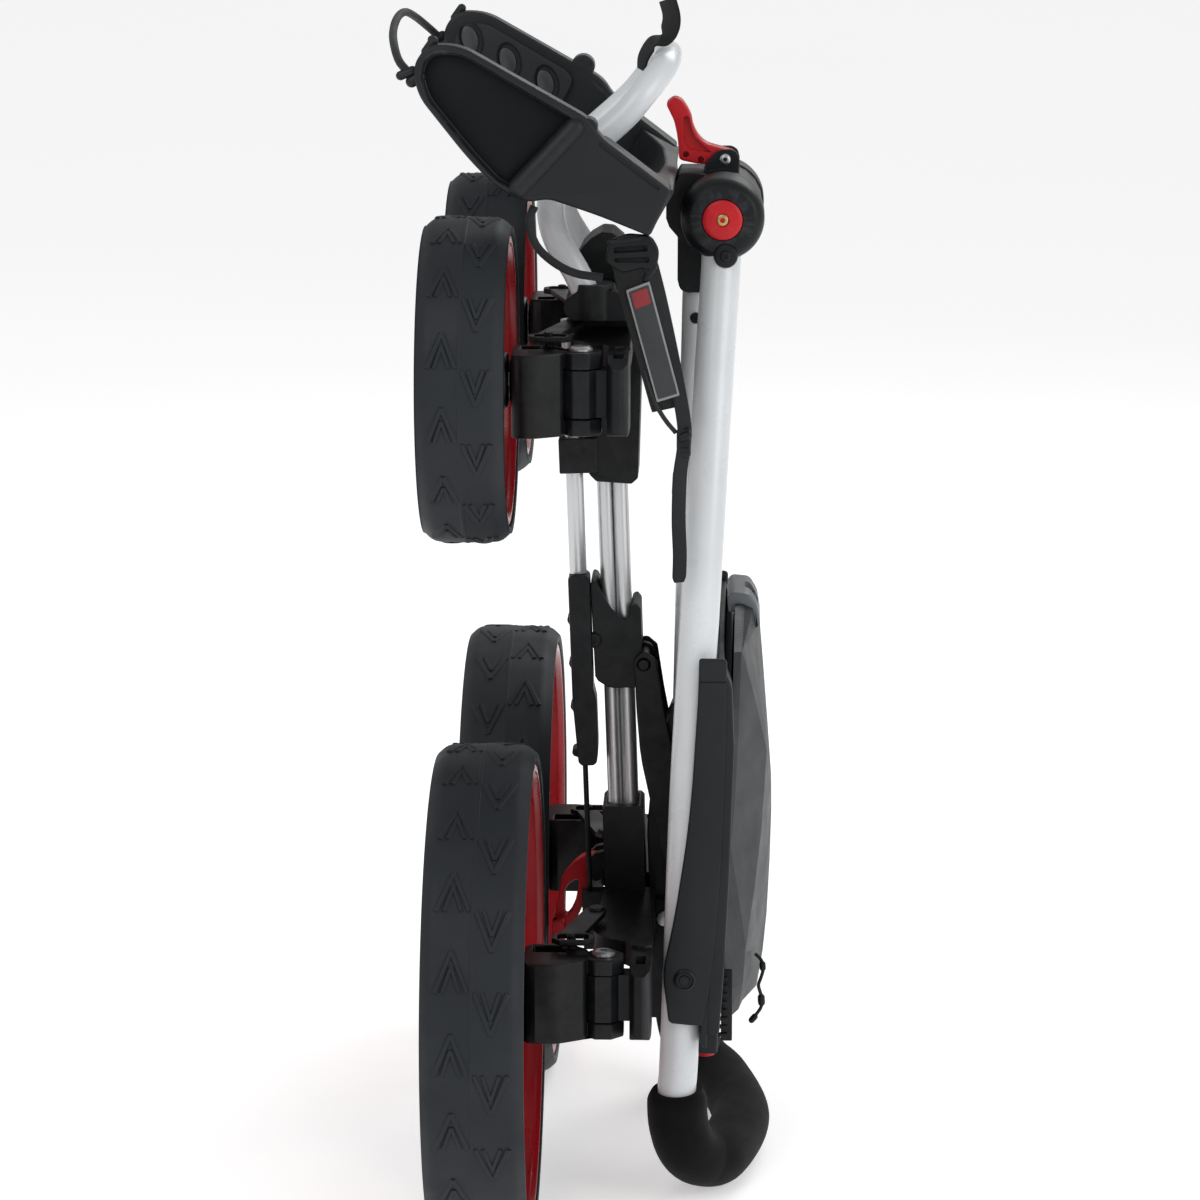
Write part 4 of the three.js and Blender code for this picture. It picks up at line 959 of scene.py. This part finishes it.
PAD_RING = [(-78, 19), (-146, 20), (-158, 12), (-158, 0), (-148, -9), (-112, -22), (-84, -27), (-76, -20)]
STUDS = [(-148, 6.5), (-120, 6.5), (-92, 6.0)]


def pad_meshes():
    face = -INNER + 4.2
    pad = plate(outline(PAD_RING, 9, 6), "XZ", -INNER + 0.3, face, 1.3, 3)
    well_rows = ((face + 1, 13.2, 8.8), (face - 0.5, 12.0, 7.8), (face - 1.4, 11.4, 7.2),
                 (face - 3.1, 10.6, 6.6))
    stud_rows = ((face - 3.3, 8.6, 5.2), (face - 1.7, 8.4, 5.0), (face - 1.4, 7.6, 4.4))
    wells = [oval_loft(at, well_rows) for at in STUDS]
    studs = [oval_loft((x - 1, z - 0.6), stud_rows) for x, z in STUDS]
    return in_cradle(cut(pad, *wells)), in_cradle(together(*studs))


pad_mesh, stud_mesh = pad_meshes()
for side, shape in SIDES:
    pad = piece(f"cradle_{side}_pad", shape(pad_mesh), PAD, "main_frame", f"cradle_pad_{side}")
    piece(f"cradle_{side}_studs", shape(stud_mesh), STUD, "main_frame")
    # The painted-shade sheet on the dish floor.
    piece(f"cradle_{side}_inset", shape(dish_shade_sheet), RECESS_SHADE, "main_frame")
    piece(f"cradle_{side}_hooks", shape(hooks), CRADLE, "main_frame")

# ---------------------------------------------------------------- bag strap
ribbon_line = curve_through([(17, -126, 605), (18.5, -127, 590), (24.5, -127.8, 565), (31.6, -128, 538),
                             (38, -127.4, 513), (39.6, -126, 506)], 7)


def bag_strap_size(t):
    return (1.15 - 0.25 * t, 1)


bag_web = ribbon(ribbon_line, 18, STRAP_THICKNESS, (0.97, 0, 0.24), bag_strap_size)
strap = piece("bag_strap_web", bag_web, WEBBING, "main_frame", "bag_strap", smooth=50)
tail_line = curve_through([(31, -125.8, 592), (36.5, -126, 570), (44, -126.2, 535), (50.5, -126.5, 500),
                           (50.8, -127, 484), (48.5, -127.2, 466), (47.8, -127, 440), (48.6, -126.6, 418),
                           (48.2, -127, 401)], 6)


def tail_size(t):
    end = min(1, (1 - t) / 0.03)
    return (0.7 + 0.3 * math.sin(end * math.pi / 2), 1)


tail_web = ribbon(tail_line, 10, 1.6, (0.8, 0.6, 0), tail_size)
tail = piece("bag_strap_tail", tail_web, WEBBING, "main_frame", smooth=50)

piece("strap_lock", fuse(box((46.4, 55), (-129.4, -124.8), (477, 495), 2),
                         box((47, 54.4), (-130, -124.4), (481, 484), 1),
                         capsule((49, -128.6, 489), (53, -128.6, 491), 2.6)), BLACK, "main_frame")
buckle = cut(plate(outline([(4, 594, 3), (6, 607, 4), (17, 611, 3), (31, 610, 4), (36, 601, 4), (34, 588, 3),
                            (26, 591, 3), (14, 588, 3)], 3, 6), "XZ", -129.6, -124.2, 1.2, 3),
             plate(outline([(9, 603), (29, 604.5), (29, 600.5), (9, 599)], 1.2), "XZ", -140, -126.4, 0),
             plate(outline([(9, 596.5), (30, 597.5), (30, 594), (10, 594)], 1), "XZ", -140, -126.4, 0))
piece("strap_buckle", buckle, BLACK, "main_frame")
bars = [capsule((8, -127.5, 598), (31, -127.5, 599.6), 2),
        capsule((7, -128.4, 606), (24, -128.4, 608.4), 1.8),
        capsule((33, -127.6, 592), (28, -127.6, 584), 2.1)]
piece("strap_buckle_bars", together(*bars), BLACK, "main_frame")
tag_line = outline([(43.6, 455), (45.4, 455), (45.2, 468), (44.2, 468)], 0.5)
piece("tail_tag", plate(tag_line, "XZ", -128.2, -126.4, 0.3), TAG, "main_frame")

LABEL_RING = [(16.2, 577.6), (30.1, 583), (48.2, 515), (34.7, 510.7)]


def label_part(low, high, margin, front, back):
    """A slice of the strap's label between two fractions of its length, with a margin at each side."""
    top_left, top_right, foot_right, foot_left = (Vector(p) for p in LABEL_RING)

    def at(along, across):
        return top_left.lerp(foot_left, along).lerp(top_right.lerp(foot_right, along), across)

    ring = [at(low, margin), at(low, 1 - margin), at(high, 1 - margin), at(high, margin)]
    return plate(outline(ring, 0.8), "XZ", front, back, 0.25)


piece("strap_label_border", label_part(0, 1, 0, -130.1, -128.9), PIPING, "main_frame")
piece("strap_label_field", label_part(0.022, 0.978, 0.08, -130.5, -129.6), LABEL, "main_frame")
piece("strap_label_band", label_part(0.04, 0.18, 0.16, -130.8, -130.2), TAG, "main_frame")

# ---------------------------------------------------------------- handle, grip and console
piece("handle_tube", tube(handle_line(), HANDLE_RADIUS, 40, 1.5), WHITE, "handle", "handle_loop", smooth=50)


def foam_size(t):
    end = min(t, 1 - t) / 0.035
    return 1 if end >= 1 else 0.84 + 0.16 * math.sin(end * math.pi / 2)


grip = piece("foam_grip_sleeve", tube(handle_line(10, GRIP_TOP), GRIP_RADIUS, 44, GRIP_WALL, foam_size), FOAM,
             "handle", "foam_grip", smooth=60)

WING_RING = [(43, 124, 3), (64, 122, 3), (69, 150, 20), (74, 205, 30), (77.4, 300, 20), (77.4, 354, 3),
             (60.5, 354, 2), (60, 330, 20), (55.5, 254, 30), (46, 190, 20), (39, 156, 10)]
SIDE = 128.5


def console_mesh():
    wing = plate(outline(WING_RING, 6, 8), "XZ", -SIDE, -SIDE + 3.6, 1.3, 3)
    seam = box((55, 79), (-SIDE - 3, -SIDE + 0.7), (339.5, 340.3), 0)
    shoulder_line = outline([(66, 116), (74, 116), (77, 160), (79.5, 215), (82, 300), (80.5, 336), (76, 348),
                             (70, 300)], 3, 5)
    shoulder = plate(shoulder_line, "XZ", -SIDE + 1, -106.5, 1.6, 3)
    slit = tube([Vector((80.2, -SIDE + 1, 196)), Vector((81.6, -SIDE + 1, 250)),
                 Vector((81.6, -SIDE + 1, 326))], 0.9, 10)
    foot = box((57, 73), (-98, -56), (94, 124), 2)
    web = plate(outline([(58, 118), (66, 118), (71, 200), (74, 300), (74, 335), (60, 335), (60, 290)], 2),
                "XZ", -90, -86, 0.6)
    left = fuse(cut(wing, seam), cut(shoulder, slit), foot, web)
    deck = plate(outline([(64.5, 108), (66, 108), (70, 150), (73.5, 215), (76, 300), (76, 348), (72, 348),
                          (71, 300), (67.5, 215), (64.5, 150), (62.4, 112)], 1),
                 "XZ", -SIDE + 1.2, SIDE - 1.2, 0.5)
    boss = box((58, 74), (-84, -68), (94, 112), 1)
    hole = tube(handle_line(6), HANDLE_HOLE, 32)
    notch = box((40, 80), (-18.5, 18.5), (240, 338), 3)
    knuckle = rod("Y", 4.6, -52.6, 52.6, LID_PIN, 28)
    bore = rod("Z", 4, 80, 108, BUTTON_AT, 28)
    return cut(fuse(left, mirrored(left), deck, boss), hole, notch, knuckle, bore)


piece("console_shell", console_mesh(), WING, "handle", "console_base")
end_cap = lathe([(-SIDE - 1.6, 0), (-SIDE - 1.6, 3), (-SIDE - 0.8, 3.4), (-SIDE - 0.8, 5), (-SIDE - 1.5, 5.6),
                 (-SIDE - 0.8, 6.8), (-SIDE + 1, 7), (-SIDE + 1, 0)], 44, "Y", (52.6, 152))
comb = [box((73.5, 79), (-108.4, -105.6), (109 + 5.2 * k, 111.4 + 5.2 * k), 0.5) for k in range(8)]
vent = together(box((75, 82), (-107.2, -104.2), (106, 152), 0.8), *comb)
for side, shape in SIDES:
    piece(f"console_{side}_cap", shape(end_cap), HOUSING, "handle")
    piece(f"console_{side}_vent", shape(vent), BLACK, "handle")

button = fuse(rod("Z", 6.4, 87, 90.4, BUTTON_AT, 40, 0.9), rod("Z", 3.4, 89, 104, BUTTON_AT, 28))
piece("release_button", button, RED, "button", "console_button")


def lid_mesh():
    # z, then x and y of the rim, the two crease lines and the crest
    rows = [
        (112, 76, 92, 86, 62, 88.5, 44, 97.5),
        (136, 77, 102, 88.5, 84, 91.5, 66, 101.3),
        (161, 77.5, 103.5, 90, 86, 90.4, 84.5, 103.6),
        (196, 78.2, 104, 84.6, 94, 95.5, 72, 105.2),
        (229, 78.6, 104, 80.4, 101.5, 99.4, 60, 106),
        (247, 79, 104, 82, 99.5, 100.5, 58, 105.8),
        (279, 79.6, 104, 83.8, 98.5, 102.4, 56, 103.4),
        (316, 80.6, 103, 85, 97, 95, 76, 100.4),
        (351, 81.5, 97, 86, 95, 86.6, 93.5, 97.4),
        (366, 82, 40, 86, 32, 88, 26, 94.6),
    ]

    def ring(row, deep=0, narrow=0):
        z, rim, rim_y, a, a_y, b, b_y, crest = row
        half = [(rim - deep * 2, -rim_y + narrow, z), (a - deep, -a_y + narrow, z),
                (b - deep, -b_y + narrow * 0.5, z), (crest - deep, -13, z)]
        return both_sides(half)

    shell = loft([ring(row) for row in rows])
    inner = [list(row) for row in rows]
    inner[0][0] += 4
    inner[-1][0] -= 5
    hollow = loft([ring(row, 4, 3.5) for row in inner])
    ears = rod("Y", 4, -52, 52, LID_PIN, 28)
    neck = box((73.5, 82), (-52, 52), (111, 119), 0.6)
    pin = rod("Y", 1.6, -80, 80, LID_PIN, 20)
    return cut(fuse(cut(shell, hollow), ears, neck), pin)


def creased(mesh):
    """The mesh with its creases softened by narrow bevels."""
    bm = bmesh.new()
    bm.from_mesh(mesh)
    bmesh.ops.dissolve_limit(bm, angle_limit=math.radians(0.6), verts=bm.verts, edges=bm.edges)
    bevel_edges(bm, 0.8, 9, True)
    bm.to_mesh(mesh)
    bm.free()
    return mesh


piece("console_lid_shell", creased(lid_mesh()), LID, "lid", "console_lid", smooth=12)
clasp = plate(outline([(78, 360, 2), (77, 370, 3), (80, 373.4, 3), (91, 372.4, 3), (96, 364, 3), (98, 352, 3),
                       (95.5, 350, 1), (90, 361, 3)], 2, 4), "XZ", -28, 28, 1.6, 3)
piece("lid_clasp", cut(clasp, box((88, 99), (-9, 9), (360, 376), 1.5)), PALE, "lid")


toggle_knots = [capsule((100.2, -62.2, 120), (100.4, -61.6, 116.4), 2.3),
                capsule((100.8, -62.6, 142), (101, -62.8, 139.4), 2),
                capsule((96.2, -62, 107.2), (94.3, -62, 104.9), 2)]
piece("lid_toggle_knots", together(*toggle_knots), BLACK, "lid")


# ---------------------------------------------------------------- studio
def make_studio():
    world = bpy.data.worlds.new("studio")
    world.use_nodes = True
    background = world.node_tree.nodes["Background"]
    background.inputs["Color"].default_value = (1, 1, 1, 1)
    background.inputs["Strength"].default_value = 0.55
    bpy.context.scene.world = world
    bpy.context.scene.view_settings.view_transform = "Standard"
    lights = [
        ("key", (-1.4, -2.1, 2.2), 1.7, 24),
        ("fill", (2.0, -1.5, 1.3), 1.5, 20),
        ("rim", (0.9, 1.6, 1.9), 1.2, 16),
    ]
    for name, place, size, power in lights:
        data = bpy.data.lights.new(name, "AREA")
        data.shape = "SQUARE"
        data.size = size
        data.energy = power
        lamp = link_object(name, data)
        lamp.location = place
        lamp.rotation_euler = (Vector((0, 0, 0.4)) - Vector(place)).to_track_quat("-Z", "Y").to_euler()
    reach = 20
    corners = [(-reach, -reach, 0), (reach, -reach, 0), (reach, reach, 0), (-reach, reach, 0)]
    floor = bpy.data.meshes.new("floor")
    floor.from_pydata(corners, [], [(0, 1, 2, 3)])
    floor.materials.append(FLOOR)
    link_object("floor", floor)


make_studio()
